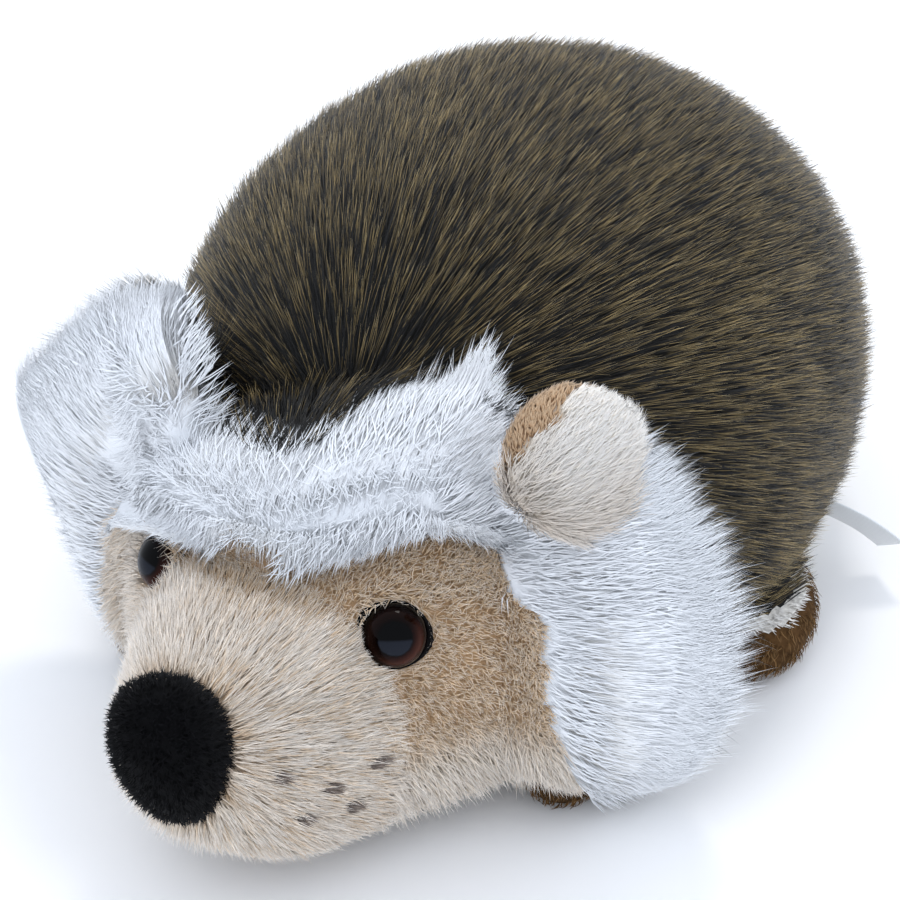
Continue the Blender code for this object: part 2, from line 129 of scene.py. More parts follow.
# ---------------------------------------------------------------- coat
SEAM_LEVEL = 0.0140 - O[2]      # where the brown back meets the pale belly
FOOT_TOP = 0.0124 - O[2]        # the belly's pile hangs over the hind feet down to here
CROWN = np.array((-0.0036, 0.0150, 0.0224))     # where the brown pile parts, over the forehead
COUNTS = {"back": 80000, "face": 30000, "muzzle": 26000, "belly": 7000, "ear_inner": 8500,
          "ear_outer": 4500, "foot": 5000, "nose": 5500, "fan": 24000, "band": 21000, "ruff": 13000}
SHARE = 1.0
UV_PATCH = 0.003
BURY = 0.0005                   # how deep a tuft is rooted
BEND_AT = 0.42                  # share of a tuft's length below its bend
TUFT_FACES = np.array(((0, 2, 3), (0, 3, 1), (0, 1, 2), (4, 3, 2), (4, 1, 3), (4, 2, 1)))
ROOT_MARGIN = 0.0004            # pile may start this far inside an eye's rim
EYE_PILE = {"left": (1.6, 0.0010), "right": (2.6, 0.0030)}      # its lean over an eye, its height over the rim
NOSE_HEM = 0.0012               # the muzzle's pile starts this far under the nose's rim
BACK_SPLIT = 0.0190             # the back's pile is parted into three pieces at this distance from the middle
BACK_REGIONS = ("back_left", "back_middle", "back_right")
MATERIAL_INDEX = {"back_left": 0, "back_middle": 0, "back_right": 0, "belly": 1, "face": 2, "muzzle": 2,
                  "ear_inner": 3, "ear_outer": 3, "foot": 4, "ruff": 5, "bare": 2}
FOREHEAD = np.array((0.0, -0.030, 0.004))       # the cheeks' pile runs away from here
WHISKER_DRAWS = 60000           # roots drawn on the muzzle, of which the few inside the spots are kept
WHISKER_SPOTS = ((0.0165, -0.0282, -0.0140), (0.0215, -0.0200, -0.0205), (0.0190, -0.0248, -0.0240),
                 (0.0236, -0.0156, -0.0268), (0.0256, -0.0106, -0.0208))

# ---------------------------------------------------------------- label and camera
LABEL_FLAT = (0.0100, 0.0180)
LABEL_HEADING, LABEL_ROLL = math.radians(16), math.radians(52)
LABEL_SLOPE = (math.radians(14), math.radians(42))      # how steeply its two ends run down
LABEL_ROOT = Vector((0.0613, 0.1153, 0.0165 - 0.0500))
CAMERA_TURN, CAMERA_TILT = math.radians(27.0), math.radians(35.0)
CAMERA_DISTANCE, CAMERA_RIGHT, CAMERA_UP = 0.54, 0.03165, 0.02646
CAMERA_LENS = 120.8
KEY_LIGHT = Vector((-0.10, 0.50, 0.90))

# ================================================================ small helpers


def unit(v):
    return v / np.maximum(np.linalg.norm(v, axis=-1, keepdims=True), 1e-12)


def dot(a, b):
    return (a * b).sum(-1, keepdims=True)


def smoothstep(low, high, x):
    t = np.clip((x - low) / (high - low), 0.0, 1.0)
    return t * t * (3.0 - 2.0 * t)


def lattice_noise(points, cell, seed):
    """Smooth noise from 0 to 1 at points, with features about one cell across."""
    q = points / cell
    base = np.floor(q).astype(np.int64)
    f = q - base
    f = f * f * (3.0 - 2.0 * f)
    total = np.zeros(len(points))
    for corner in range(8):
        step = np.array([(corner >> k) & 1 for k in range(3)])
        i = base + step
        h = (i[:, 0] * 73856093) ^ (i[:, 1] * 19349663) ^ (i[:, 2] * 83492791) ^ (seed * 2654435)
        h &= 0xFFFFFFFF
        h ^= h >> 13
        h = (h * 0x5BD1E995) & 0xFFFFFFFF
        h ^= h >> 15
        weight = np.prod(np.where(step == 1, f, 1.0 - f), axis=1)
        total += weight * h / 4294967296.0
    return total


def link(obj):
    bpy.context.scene.collection.objects.link(obj)
    return obj


def mesh_object(name, points, faces):
    mesh = bpy.data.meshes.new(name)
    mesh.from_pydata([tuple(p) for p in points], [], [tuple(int(i) for i in f) for f in faces])
    mesh.update()
    return link(bpy.data.objects.new(name, mesh))


def object_of(name, mesh_data):
    """The object for a finished bmesh, which is freed."""
    mesh = bpy.data.meshes.new(name)
    mesh_data.to_mesh(mesh)
    mesh_data.free()
    return link(bpy.data.objects.new(name, mesh))


def shade_smooth(mesh):
    mesh.polygons.foreach_set("use_smooth", np.ones(len(mesh.polygons), bool))


def dressed(obj, material, slot, *stands_for):
    """Give a piece its material, its body and the solids that it stands for; slot is not used."""
    if material is not None:
        obj.data.materials.append(material)
    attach(obj, "root")
    if stands_for:
        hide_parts(*stands_for)
    return obj


def read_array(items, attribute, width, kind=float):
    """One attribute of every item, in rows of width numbers."""
    values = np.empty(len(items) * width, kind)
    items.foreach_get(attribute, values)
    return values.reshape(-1, width)


def vertex_array(mesh, attribute="co"):
    return read_array(mesh.vertices, attribute, 3)


def edge_array(mesh):
    return read_array(mesh.edges, "vertices", 2, np.int64)


def move_vertices(mesh, points):
    mesh.vertices.foreach_set("co", points.ravel())
    mesh.update()


def point_attributes(mesh, **values):
    for key, value in values.items():
        data = mesh.attributes.new(key, "FLOAT", "POINT").data
        data.foreach_set("value", np.broadcast_to(value, len(mesh.vertices)).astype(np.float32))


def points_and_faces(mesh):
    return [v.co[:] for v in mesh.vertices], [tuple(p.vertices) for p in mesh.polygons]


def merged(parts):
    """Points and faces of several meshes as one, and the part that each face comes from."""
    points, faces, owner = [], [], []
    for k, (verts, polygons) in enumerate(parts):
        base = len(points)
        points += [tuple(v) for v in verts]
        faces += [tuple(base + i for i in polygon) for polygon in polygons]
        owner += [k] * len(polygons)
    return points, faces, owner


def node_tree(name):
    return BVHTree.FromPolygons(*points_and_faces(NODES[name].data))


def nearest_nodes(points, names):
    """The name of the CAD node nearest to each point."""
    verts, faces, owner = merged(points_and_faces(NODES[name].data) for name in names)
    tree = BVHTree.FromPolygons(verts, faces)
    return [names[owner[tree.find_nearest(Vector(p))[2]]] for p in points]


def remeshed(obj, voxel):
    """One closed surface round everything in obj."""
    modifier = obj.modifiers.new("close", "REMESH")
    modifier.mode = "VOXEL"
    modifier.voxel_size = voxel
    graph = bpy.context.evaluated_depsgraph_get()
    mesh = bpy.data.meshes.new_from_object(obj.evaluated_get(graph))
    obj.modifiers.remove(modifier)
    obj.data = mesh
    return obj


def relaxed(values, edges, count, steps):
    """Bring each vertex's value half way to the mean of its neighbours', steps times."""
    a, b = edges[:, 0], edges[:, 1]
    degree = np.maximum(np.bincount(a, minlength=count) + np.bincount(b, minlength=count), 1)[:, None]
    values = values.copy()
    for _ in range(steps):
        total = np.stack([np.bincount(a, values[b, k], count) + np.bincount(b, values[a, k], count)
                          for k in range(values.shape[1])], axis=1)
        values += 0.5 * (total / degree - values)
    return values


def smooth_row(stations, t):
    """Read a smooth curve through the stations at t, an array from 0 to 1."""
    stations = np.array(stations)
    spans = len(stations) - 1
    place = np.clip(t, 0.0, 1.0) * spans
    k = np.minimum(place.astype(int), spans - 1)
    f = (place - k)[:, None]
    a, b, c, d = (stations[np.clip(k + step, 0, spans)] for step in (-1, 0, 1, 2))
    return 0.5 * (2.0 * b + (c - a) * f + (2.0 * a - 5.0 * b + 4.0 * c - d) * f ** 2
                  + (3.0 * b - a - 3.0 * c + d) * f ** 3)


def even_row(values, t):
    """The same for single values at even steps."""
    return smooth_row(np.array(values)[:, None], t)[:, 0]


# ================================================================ the ruff's own coordinates
# t runs along the ruff, s from its inner (or front) edge to its outer (or back) edge, and n across
# its thickness, from -1 to 1 between its two faces.


def fan_chord(side, t):
    row = smooth_row(FAN_STATIONS[side], t)
    angle = np.radians(row[:, 0])
    ray = np.stack([SIDES[side] * np.cos(angle), np.zeros_like(angle), np.sin(angle)], 1)
    foot = np.array((0.0, 0.0, RUFF_CENTRE_Z))
    zero = np.zeros_like(angle)
    inner = foot + ray * row[:, 1:2] + np.stack([zero, row[:, 3], zero], 1)
    outer = foot + ray * row[:, 2:3] + np.stack([zero, row[:, 4], zero], 1)
    return inner, outer, row[:, 5]


def band_chord(_, t):
    row = smooth_row(BAND_STATIONS, t)
    return row[:, (0, 1, 2)], row[:, (0, 3, 4)], row[:, 5]


def ruff_frame(chord, side, t):
    """Inner and outer point, thickness and the direction across, which points out of the front."""
    inner, outer, thick = chord(side, t)
    step = 0.02
    before, after = chord(side, np.maximum(t - step, 0.0)), chord(side, np.minimum(t + step, 1.0))
    along = (after[0] + after[1] - before[0] - before[1]) * 0.5
    across = unit(np.cross(outer - inner, along))
    return inner, outer, thick, across if side == "right" else -across


def ruff_point(chord, side, t, s, n):
    """The point at t, s and n of a ruff whose section is a lens."""
    inner, outer, thick, across = ruff_frame(chord, side, t)
    inside = np.clip(s, 0.0, 1.0)
    half = thick * np.sqrt(inside * (1.0 - inside)) * (LENS_INNER + (LENS_OUTER - LENS_INNER) * inside)
    return inner + (outer - inner) * s[:, None] + across * (half * n)[:, None]


def ruff_normal(chord, side, t, s, face):
    """The lens's own smooth normal, on its front (1) or its back (-1)."""
    inner, outer, thick, across = ruff_frame(chord, side, t)
    width = np.linalg.norm(outer - inner, axis=1)
    inside = np.clip(s, 0.03, 0.97)
    root = np.sqrt(inside * (1.0 - inside))
    fade = LENS_INNER + (LENS_OUTER - LENS_INNER) * inside
    slope = thick * ((0.5 - inside) / root * fade + root * (LENS_OUTER - LENS_INNER)) / width
    return unit(across * face[:, None] - unit(outer - inner) * np.clip(slope, -0.9, 0.9)[:, None])


def fan_place(side, place):
    """t and s of points near a side ruff, their turn round the head, and the direction out of its front."""
    steps = np.linspace(0.0, 1.0, 101)
    row = smooth_row(FAN_STATIONS[side], steps)
    height = place[:, 2] - RUFF_CENTRE_Z
    turn = np.degrees(np.arctan2(height, SIDES[side] * place[:, 0]))
    t = np.interp(-turn, -row[:, 0], steps)
    inner, outer = (np.interp(t, steps, row[:, k]) for k in (1, 2))
    s = (np.hypot(place[:, 0], height) - inner) / (outer - inner)
    return t, s, turn, ruff_frame(fan_chord, side, t)[3]


def band_place(place):
    """t and s of points near the band over the forehead."""
    x = [station[0] for station in BAND_STATIONS]
    t = np.interp(place[:, 0], x, np.linspace(0.0, 1.0, len(x)))
    inner, outer, _ = band_chord("top", t)
    return t, (place[:, 1] - inner[:, 1]) / (outer[:, 1] - inner[:, 1])


def cheek_edge(turn):
    degrees, shares = np.array(CHEEK_EDGE).T
    return np.interp(turn, degrees, shares)


def under_ear(place):
    """Where white hair grows on the head below the near ear."""
    x, heights = np.array(UNDER_EAR).T
    above = place[..., 2] > np.interp(place[..., 0], x, heights)
    return above & (place[..., 0] > x[0]) & (place[..., 1] > 0.012)


def core_lens(chord, side, start, front, back, fat, sink=0.0, pinch=0.0):
    """The sewn flap inside the ruff: a thinner lens between two shares of its width.

    pinch is the share of its width that it loses towards both ends.
    """
    rows, loops = 24, 12
    t = np.repeat(np.linspace(start, FLAP_END, rows), loops)
    turn = np.tile(np.arange(loops) * 2.0 * math.pi / loops, rows)
    inner, outer, thick, across = ruff_frame(chord, side, t)
    fade = smoothstep(start, start + 0.12, t)
    narrow = 1.0 - pinch * (1.0 - fade * smoothstep(FLAP_END, FLAP_END - 0.12, t))
    share = 0.5 * (front + back) - 0.5 * (back - front) * np.cos(turn) * narrow
    points = inner + (outer - inner) * share[:, None]
    points += across * (0.5 * thick * fat * (0.6 + 0.4 * fade) * np.sin(turn) - sink)[:, None]
    faces = [(r * loops + i, r * loops + (i + 1) % loops, (r + 1) * loops + (i + 1) % loops,
              (r + 1) * loops + i) for r in range(rows - 1) for i in range(loops)]
    faces += [tuple(range(loops))[::-1], tuple((rows - 1) * loops + i for i in range(loops))]
    return points + O, faces


# ================================================================ skin
def body_union():
    """The body's solids, closed into one surface and brought in by the depth of their pile."""
    whole = bmesh.new()
    for name in BODY_NODES:
        part = bmesh.new()
        part.from_mesh(NODES[name].data)
        bmesh.ops.remove_doubles(part, verts=part.verts, dist=1e-6)
        bmesh.ops.recalc_face_normals(part, faces=part.faces)
        part.normal_update()
        for v in part.verts:
            v.co += v.normal * SWELL
        mesh = bpy.data.meshes.new("part")
        part.to_mesh(mesh)
        part.free()
        whole.from_mesh(mesh)
        bpy.data.meshes.remove(mesh)
    body = remeshed(object_of("body", whole), VOXEL)
    edges, points = edge_array(body.data), vertex_array(body.data)
    names = nearest_nodes(points, BODY_NODES)
    depth = np.array([PILE_DEPTH.get(n, PILE_DEPTH.get(n.split("_")[0], 0.0)) for n in names])[:, None]
    depth = relaxed(depth, edges, len(points), 6)
    points = relaxed(points, edges, len(points), 4)
    move_vertices(body.data, points)
    normals = unit(relaxed(vertex_array(body.data, "normal"), edges, len(points), 3))
    sole = points[:, 2] < 0.004
    points -= normals * depth
    points[sole, 2] = np.maximum(points[sole, 2] - 0.0008, 0.0004)
    move_vertices(body.data, points)
    return body


def stalk_direction(side):
    """From the ear into the head."""
    return unit(np.array((-0.7 * SIDES[side], 0.1, -0.8)))


def ear_parts(side):
    """The ear's sewn shape: a flat ball, and a stalk that reaches into the head."""
    centre, facing = EARS[side]
    turn = Vector(facing).to_track_quat("Z", "Y").to_matrix().to_4x4()
    radius = EAR_SKIN_RADIUS * EAR_SHARE[side]
    parts = []
    for spot, wide, segments in ((centre + O, radius, 32),
                                 (centre + O + stalk_direction(side) * STALK_REACH, radius * 0.6, 24)):
        ball = bmesh.new()
        bmesh.ops.create_uvsphere(ball, u_segments=segments, v_segments=segments // 2, radius=1.0)
        squash = Matrix.Diagonal((wide, wide, EAR_SKIN_HALF, 1.0))
        ball.transform(Matrix.Translation(Vector(spot)) @ turn @ squash)
        ball.verts.ensure_lookup_table()
        parts.append(([v.co[:] for v in ball.verts], [[v.index for v in f.verts] for f in ball.faces]))
        ball.free()
    return parts


def make_skin():
    """One closed skin: the body, the ears and the ruff's three flaps."""
    body = body_union()
    parts = [points_and_faces(body.data)]
    for side in SIDES:
        parts += ear_parts(side)
        parts.append(core_lens(fan_chord, side, FAN_START[side], CORE_FRONT, CORE_REACH, CORE_FAT))
    parts.append(core_lens(band_chord, "top", **BAND_FLAP))
    points, faces, _ = merged(parts)
    bpy.data.objects.remove(body)
    skin = remeshed(mesh_object("skin", points, faces), VOXEL)
    points = vertex_array(skin.data)
    points = relaxed(points, edge_array(skin.data), len(points), 3)
    points[:, 2] = np.maximum(points[:, 2], 0.0003)
    move_vertices(skin.data, points)
    return skin


NOSE_TREE = node_tree("nose")


def ear_share(side, place):
    """Distance from the middle of an ear, in shares of its radius."""
    return np.linalg.norm(place - EARS[side][0], axis=-1) / (EAR_SKIN_RADIUS * EAR_SHARE[side])


def region_of(name, centre, normal, cheek, brown, brow):
    """Which stretch of pile grows on a face of the skin, from the solid nearest to it."""
    if name == "ruff_top" and brow:
        name = "head"
    if name == "ruff_top" and brown:
        name = "back_coat"
    if name.startswith("ear") and ear_share(name[4:], centre) > 1.15:
        name = "back_coat" if EARS["right"][0][0] < centre[0] < 0.0 else "ruff_top"
    if name in ("head", "ruff_left") and under_ear(centre):
        return "ruff"
    if name == "back_coat" and centre[2] < SEAM_LEVEL:
        return "belly"
    above = centre[2] > SEAM_LEVEL and normal[2] > -0.7
    if name == "back_coat" or name in ("belly", "foot_hind_left", "foot_hind_right") and above:
        side = int(centre[0] < BACK_SPLIT) + int(centre[0] < -BACK_SPLIT)
        return BACK_REGIONS[side]
    if name.startswith("ear"):
        return ear_region(name[4:], centre, normal)
    if name.startswith("foot"):
        return "belly" if name.startswith("foot_hind") and centre[2] > FOOT_TOP else "foot"
    if name.startswith("ruff"):
        return "face" if cheek and name != "ruff_top" else "ruff"
    if name == "nose" and depth_in_nose(centre) > NOSE_HEM:
        return "bare"
    return {"head": "face", "belly": "belly"}.get(name, "muzzle")


def ear_region(side, centre, normal):
    """The cream lining, the tan rim beside and behind it, or the ruff's hair round the stalk."""
    ear_centre, facing = EARS[side]
    rim = unit(np.array((-0.87 * SIDES[side], -0.06, 0.49)))
    neck = float((centre - ear_centre) @ stalk_direction(side))
    if neck > 0.0118 * EAR_SHARE[side]:
        return "ruff"
    reach = EAR_LINING_REACH + 0.0030 * (lattice_noise(centre[None], 0.0022, 23)[0] - 0.5)
    turned = float(normal @ unit(facing)) > 0.10 - 0.9 * smoothstep(0.002, 0.007, neck)
    lined = turned and float((centre - ear_centre) @ rim) < reach
    return "ear_inner" if lined else "ear_outer"


def depth_in_nose(place):
    spot, face_normal, _, _ = NOSE_TREE.find_nearest(Vector(place + O))
    return -(Vector(place + O) - spot).dot(face_normal)


def solids_but(*kinds):
    """The names of the CAD nodes that aren't of these kinds."""
    return [name for name in NODES if name.split("_")[0] not in kinds]


def skin_regions(skin):
    polygons = skin.data.polygons
    centres, normals = read_array(polygons, "center", 3), read_array(polygons, "normal", 3)
    nearest = np.array(nearest_nodes(centres, solids_but("eye", "label")), object)
    centres = centres - O
    cheek = np.zeros(len(centres), bool)
    for side, sign in SIDES.items():
        t, s, turn, across = fan_place(side, centres)
        cheek |= (centres[:, 0] * sign > 0.0) & (s < cheek_edge(turn)) & (dot(normals, across)[:, 0] > 0.0)
        past_the_end = (nearest == "ruff_" + side) & (t < FAN_START[side] - 0.05) & (s > 0.0)
        nearest[past_the_end] = "back_coat"
    nearest[ear_share("right", centres) < 1.08] = "ear_right"
    t, s = band_place(centres)
    brown, brow = s > even_row(BAND_BACK, t), s < even_row(BAND_BROW, t)
    return [region_of(*row) for row in zip(nearest, centres, normals, cheek, brown, brow)]


def unwrap(obj, operator, **how):
    """Lay the whole of obj flat in a new OFBake map."""
    obj.data.uv_layers.new(name="OFBake")
    bpy.ops.object.select_all(action="DESELECT")
    obj.select_set(True)
    bpy.context.view_layer.objects.active = obj
    bpy.ops.object.mode_set(mode="EDIT")
    bpy.ops.mesh.select_all(action="SELECT")
    operator(**how)
    bpy.ops.object.mode_set(mode="OBJECT")


def unwrap_skin(skin, regions):
    """Seams run between the stretches of pile, and each stretch is laid flat by its own shape."""
    mesh_data = bmesh.new()
    mesh_data.from_mesh(skin.data)
    mesh_data.faces.ensure_lookup_table()
    for edge in mesh_data.edges:
        edge.seam = len({regions[f.index] for f in edge.link_faces}) > 1
    mesh_data.to_mesh(skin.data)
    mesh_data.free()
    unwrap(skin, bpy.ops.uv.unwrap, method="CONFORMAL", margin=0.002)


class Surface:
    """The skin as triangles, from which roots are drawn."""

    def __init__(self, skin, regions):
        mesh = skin.data
        mesh.calc_loop_triangles()
        self.tri = read_array(mesh.loop_triangles, "vertices", 3, np.int64)
        self.loops = read_array(mesh.loop_triangles, "loops", 3, np.int64)
        owner = read_array(mesh.loop_triangles, "polygon_index", 1, np.int64)[:, 0]
        self.points = vertex_array(mesh) - O
        self.normals = unit(relaxed(vertex_array(mesh, "normal"), edge_array(mesh), len(self.points), 3))
        self.uv = read_array(mesh.uv_layers["OFBake"].data, "uv", 2)
        self.region = np.array(regions)[owner]
        a, b, c = (self.points[self.tri[:, k]] for k in range(3))
        self.area = 0.5 * np.linalg.norm(np.cross(b - a, c - a), axis=1)

    def roots(self, region, count, rng):
        """count points spread evenly over a region: place, normal, and place on the region's own unwrap."""
        chosen = np.flatnonzero(self.region == region)
        weight = self.area[chosen]
        pick = chosen[rng.choice(len(chosen), size=count, p=weight / weight.sum())]
        r1, r2 = np.sqrt(rng.random(count)), rng.random(count)
        shares = np.stack([1.0 - r1, r1 * (1.0 - r2), r1 * r2], 1)[:, :, None]
        place = (self.points[self.tri[pick]] * shares).sum(1)
        normal = unit((self.normals[self.tri[pick]] * shares).sum(1))
        flat = (self.uv[self.loops[pick]] * shares).sum(1)
        corners = self.uv[self.loops[chosen]].reshape(-1, 2)
        low, high = corners.min(0), corners.max(0)
        margin = 2.0 * UV_PATCH
        flat = margin + (flat - low) / np.maximum(high - low, 1e-9) * (1.0 - 2.0 * margin)
        return place, normal, flat


# ================================================================ tufts
def build_tufts(name, lines, normal, width, flat, mark, shade, material, slot, fat=0.45, blend=0.65):
    """Closed pointed tufts as one mesh.

    lines holds the root, the bend and the tip of every tuft; the bend is a triangle of two sides and
    a crest, which is fat times as high as it is wide. normal is the pile's own smooth normal, blend
    how far it shades the tuft, and flat each root's place on the skin's unwrap.
    """
    count = len(flat)
    for line in lines:
        line[:, 2] = np.maximum(line[:, 2], 2.0 * width - O[2])
    root, bend, tip = lines
    blend = np.broadcast_to(blend, (count,))[:, None]
    forward = unit(tip - root)
    side = unit(np.cross(forward, normal))
    crest = np.cross(side, forward)
    w = width[:, None]
    points = np.stack([root, bend - side * w, bend + side * w, bend + crest * w * fat * 2.0, tip], 1)
    under = crest * 0.3 * (1.0 - blend)
    shading = np.stack([normal,
                        unit(normal * blend - side * (1.0 - blend) - under),
                        unit(normal * blend + side * (1.0 - blend) - under),
                        unit(normal * blend + crest * (1.0 - blend)),
                        unit(normal + 0.35 * unit(tip - bend))], 1)
    below, above = np.linalg.norm(bend - root, axis=1), np.linalg.norm(tip - bend, axis=1)
    along = np.outer(below / np.maximum(below + above, 1e-9), (0.0, 1.0, 1.0, 1.0, 0.0))
    along[:, -1] = 1.0
    across = np.broadcast_to((0.0, -0.5, 0.5, 0.0, 0.0), along.shape)
    uv = flat[:, None] + np.stack([across, along - 0.5], 2) * UV_PATCH
    per = points.shape[1]
    corners = (TUFT_FACES + (np.arange(count) * per)[:, None, None]).reshape(-1)
    mesh = bpy.data.meshes.new(name)
    mesh.vertices.add(count * per)
    mesh.vertices.foreach_set("co", (points + O).ravel())
    mesh.loops.add(len(corners))
    mesh.loops.foreach_set("vertex_index", corners.astype(np.int32))
    mesh.polygons.add(len(corners) // 3)
    mesh.polygons.foreach_set("loop_start", np.arange(0, len(corners), 3, dtype=np.int32))
    shade_smooth(mesh)
    mesh.update(calc_edges=True)
    mesh.uv_layers.new(name="OFBake").data.foreach_set("uv", uv.reshape(-1, 2)[corners].ravel())
    point_attributes(mesh, along=along.ravel(), mark=np.repeat(mark, per), shade=np.repeat(shade, per))
    mesh.normals_split_custom_set_from_vertices(shading.reshape(-1, 3))
    return dressed(link(bpy.data.objects.new(name, mesh)), material, slot)


def tilts(rng, count, rise, settle):
    """Angles off the skin in radians, each from its mean and spread in degrees."""
    return [np.radians(rng.normal(*angle, count)) for angle in (rise, settle)]


def lay_down(place, normal, flow, length, rise, settle, curl, rng):
    """Root, bend and tip of short pile that leaves the skin at the angle rise and lies over to settle."""
    count = len(place)
    flow = unit(flow - normal * dot(flow, normal))
    across = np.cross(normal, flow)
    swing = rng.normal(0.0, 1.0, count)[:, None] * curl
    first = unit(flow * np.cos(swing) + across * np.sin(swing))
    swing = swing + rng.normal(0.0, 1.0, count)[:, None] * curl * 0.8
    second = unit(flow * np.cos(swing) + across * np.sin(swing))
    size, rise, settle = length[:, None], rise[:, None], settle[:, None]
    bend = place + size * BEND_AT * (first * np.cos(rise) + normal * np.sin(rise))
    tip = bend + size * (1.0 - BEND_AT) * (second * np.cos(settle) + normal * np.sin(settle))
    return [place - normal * BURY, bend, tip]


def clumped(lines, points, cell, pull, noise_seed):
    """Draw tips together towards the middle of a loose lock."""
    wander = np.stack([lattice_noise(points, cell * 0.8, noise_seed + k) for k in range(3)], 1)
    keys = np.floor((points + 0.35 * cell * (wander - 0.5)) / cell).astype(np.int64)
    _, lock = np.unique(keys[:, 0] * 1000003 + keys[:, 1] * 9176 + keys[:, 2], return_inverse=True)
    size = np.bincount(lock)
    for k, share in ((-1, pull), (-2, pull * 0.35)):
        middle = np.stack([np.bincount(lock, lines[k][:, j]) / size for j in range(3)], 1)[lock]
        lines[k] = lines[k] + (middle - lines[k]) * share
    return lines


def speckled(place, cell, noise_seed, share, rng):
    """Shade from 0 to 1: share of it in patches of about one cell, the rest tuft by tuft."""
    patches = lattice_noise(place, cell, noise_seed)
    return np.clip(share * patches + (1.0 - share) * rng.random(len(place)), 0.0, 1.0)


def kept(keep, count, *arrays):
    return [values[keep][:count] for values in arrays]


# ================================================================ materials
SHADER_INPUTS = {"rough": "Roughness", "specular": "Specular IOR Level", "sheen": "Sheen Weight",
                 "sheen_rough": "Sheen Roughness"}


def connect(tree, value, socket):
    """Link an output to a socket, or set the socket to a plain value."""
    if hasattr(value, "links"):
        tree.links.new(value, socket)
    else:
        socket.default_value = value


def node(tree, kind, *inputs, **values):
    """A new node; its inputs are given in order or by name, and its settings by name."""
    made = tree.nodes.new(kind)
    named = {key: value for key, value in values.items() if key in made.inputs}
    for key, value in values.items():
        if key not in named:
            setattr(made, key, value)
    for key, value in [*enumerate(inputs), *named.items()]:
        connect(tree, value, made.inputs[key])
    return made


def ramp(tree, stops, source):
    """The colour that a ramp through the stops gives for source."""
    made = node(tree, "ShaderNodeValToRGB", source)
    elements = made.color_ramp.elements
    while len(elements) < len(stops):
        elements.new(0.5)
    for element, (place, colour) in zip(elements, stops):
        element.position = place
        element.color = (*colour, 1.0)
    return made.outputs["Color"]


def greys(*stops):
    return [(place, (level,) * 3) for place, level in stops]


def new_material(name):
    """A material, its tree, and the place on the object as an output."""
    material = bpy.data.materials.new(name)
    material.use_nodes = True
    tree = material.node_tree
    return material, tree, node(tree, "ShaderNodeTexCoord").outputs["Object"]


def set_shader(tree, colour, **levels):
    """Link the colour, and set the shader's own constants."""
    shader = tree.nodes["Principled BSDF"]
    tree.links.new(colour, shader.inputs["Base Color"])
    for key, value in levels.items():
        shader.inputs[SHADER_INPUTS[key]].default_value = value
    return shader


def bumped(tree, shader, height, strength, distance):
    bumps = node(tree, "ShaderNodeBump", Strength=strength, Distance=distance, Height=height)
    tree.links.new(bumps.outputs["Normal"], shader.inputs["Normal"])


def attribute(tree, name):
    return node(tree, "ShaderNodeAttribute", attribute_name=name).outputs["Fac"]


def mix(tree, factor, a, b, blend_type="MIX"):
    made = node(tree, "ShaderNodeMix", data_type="RGBA", blend_type=blend_type)
    for key, value in (("Factor", factor), (6, a), (7, b)):
        connect(tree, value, made.inputs[key])
    return made.outputs[2]


def pile_material(name, plain, marked, rough=0.8, sheen=0.25, spread=0.35, fleck=0.16, specular=0.25):
    """Pile whose colour runs from root to tip; plain and marked are the two dyes it is mixed from."""
    material, tree, place = new_material(name)
    along = attribute(tree, "along")
    base = mix(tree, attribute(tree, "mark"), ramp(tree, plain, along), ramp(tree, marked, along))
    shade = ramp(tree, greys((0.0, 1.0 - spread), (1.0, 1.0 + spread * 0.6)), attribute(tree, "shade"))
    noise = node(tree, "ShaderNodeTexNoise", Vector=place, Scale=900.0, Detail=1.0)
    grain = ramp(tree, greys((0.3, 1.0 - fleck), (0.7, 1.0 + fleck)), noise.outputs["Fac"])
    colour = mix(tree, 1.0, mix(tree, 1.0, base, shade, "MULTIPLY"), grain, "MULTIPLY")
    set_shader(tree, colour, rough=rough, specular=specular, sheen=sheen, sheen_rough=0.45)
    return material


# The plain dye's bright tip is partly the hair's own pale tips and partly painted glints on the brown pile.
BACK = pile_material(
    "back_plush",
    ((0.0, (0.003, 0.002, 0.002)), (0.48, (0.006, 0.005, 0.003)), (0.68, (0.085, 0.060, 0.022)),
     (0.86, (0.280, 0.200, 0.082)), (1.0, (0.620, 0.510, 0.300))),
    ((0.0, (0.002, 0.002, 0.002)), (0.7, (0.004, 0.004, 0.004)), (1.0, (0.022, 0.020, 0.017))),
    rough=0.38, sheen=0.0, spread=0.85, specular=0.22)
RUFF = pile_material(
    "ruff_plush",
    ((0.0, (0.88, 0.90, 0.93)), (0.3, (0.88, 0.90, 0.93)), (1.0, (0.86, 0.88, 0.91))),
    ((0.0, (0.66, 0.58, 0.46)), (0.5, (0.82, 0.79, 0.72)), (1.0, (0.85, 0.86, 0.86))),
    rough=0.9, sheen=0.1, spread=0.03, fleck=0.01, specular=0.1)
FACE = pile_material(
    "face_plush",
    ((0.0, (0.36, 0.20, 0.09)), (0.45, (0.58, 0.38, 0.21)), (0.72, (0.74, 0.56, 0.38)),
     (1.0, (0.95, 0.89, 0.81))),
    ((0.0, (0.60, 0.43, 0.28)), (0.4, (0.80, 0.67, 0.53)), (1.0, (0.92, 0.86, 0.79))),
    spread=0.34, fleck=0.10)
BELLY = pile_material(
    "belly_plush",
    ((0.0, (0.62, 0.58, 0.51)), (0.5, (0.82, 0.79, 0.74)), (1.0, (0.92, 0.90, 0.87))),
    ((0.0, (0.50, 0.44, 0.36)), (1.0, (0.74, 0.69, 0.61))), spread=0.15)
EAR = pile_material(
    "ear_plush",
    ((0.0, (0.24, 0.11, 0.05)), (0.5, (0.46, 0.28, 0.15)), (1.0, (0.68, 0.50, 0.33))),
    ((0.0, (0.78, 0.62, 0.45)), (0.4, (0.95, 0.86, 0.74)), (1.0, (0.98, 0.96, 0.93))),
    spread=0.10, fleck=0.04)
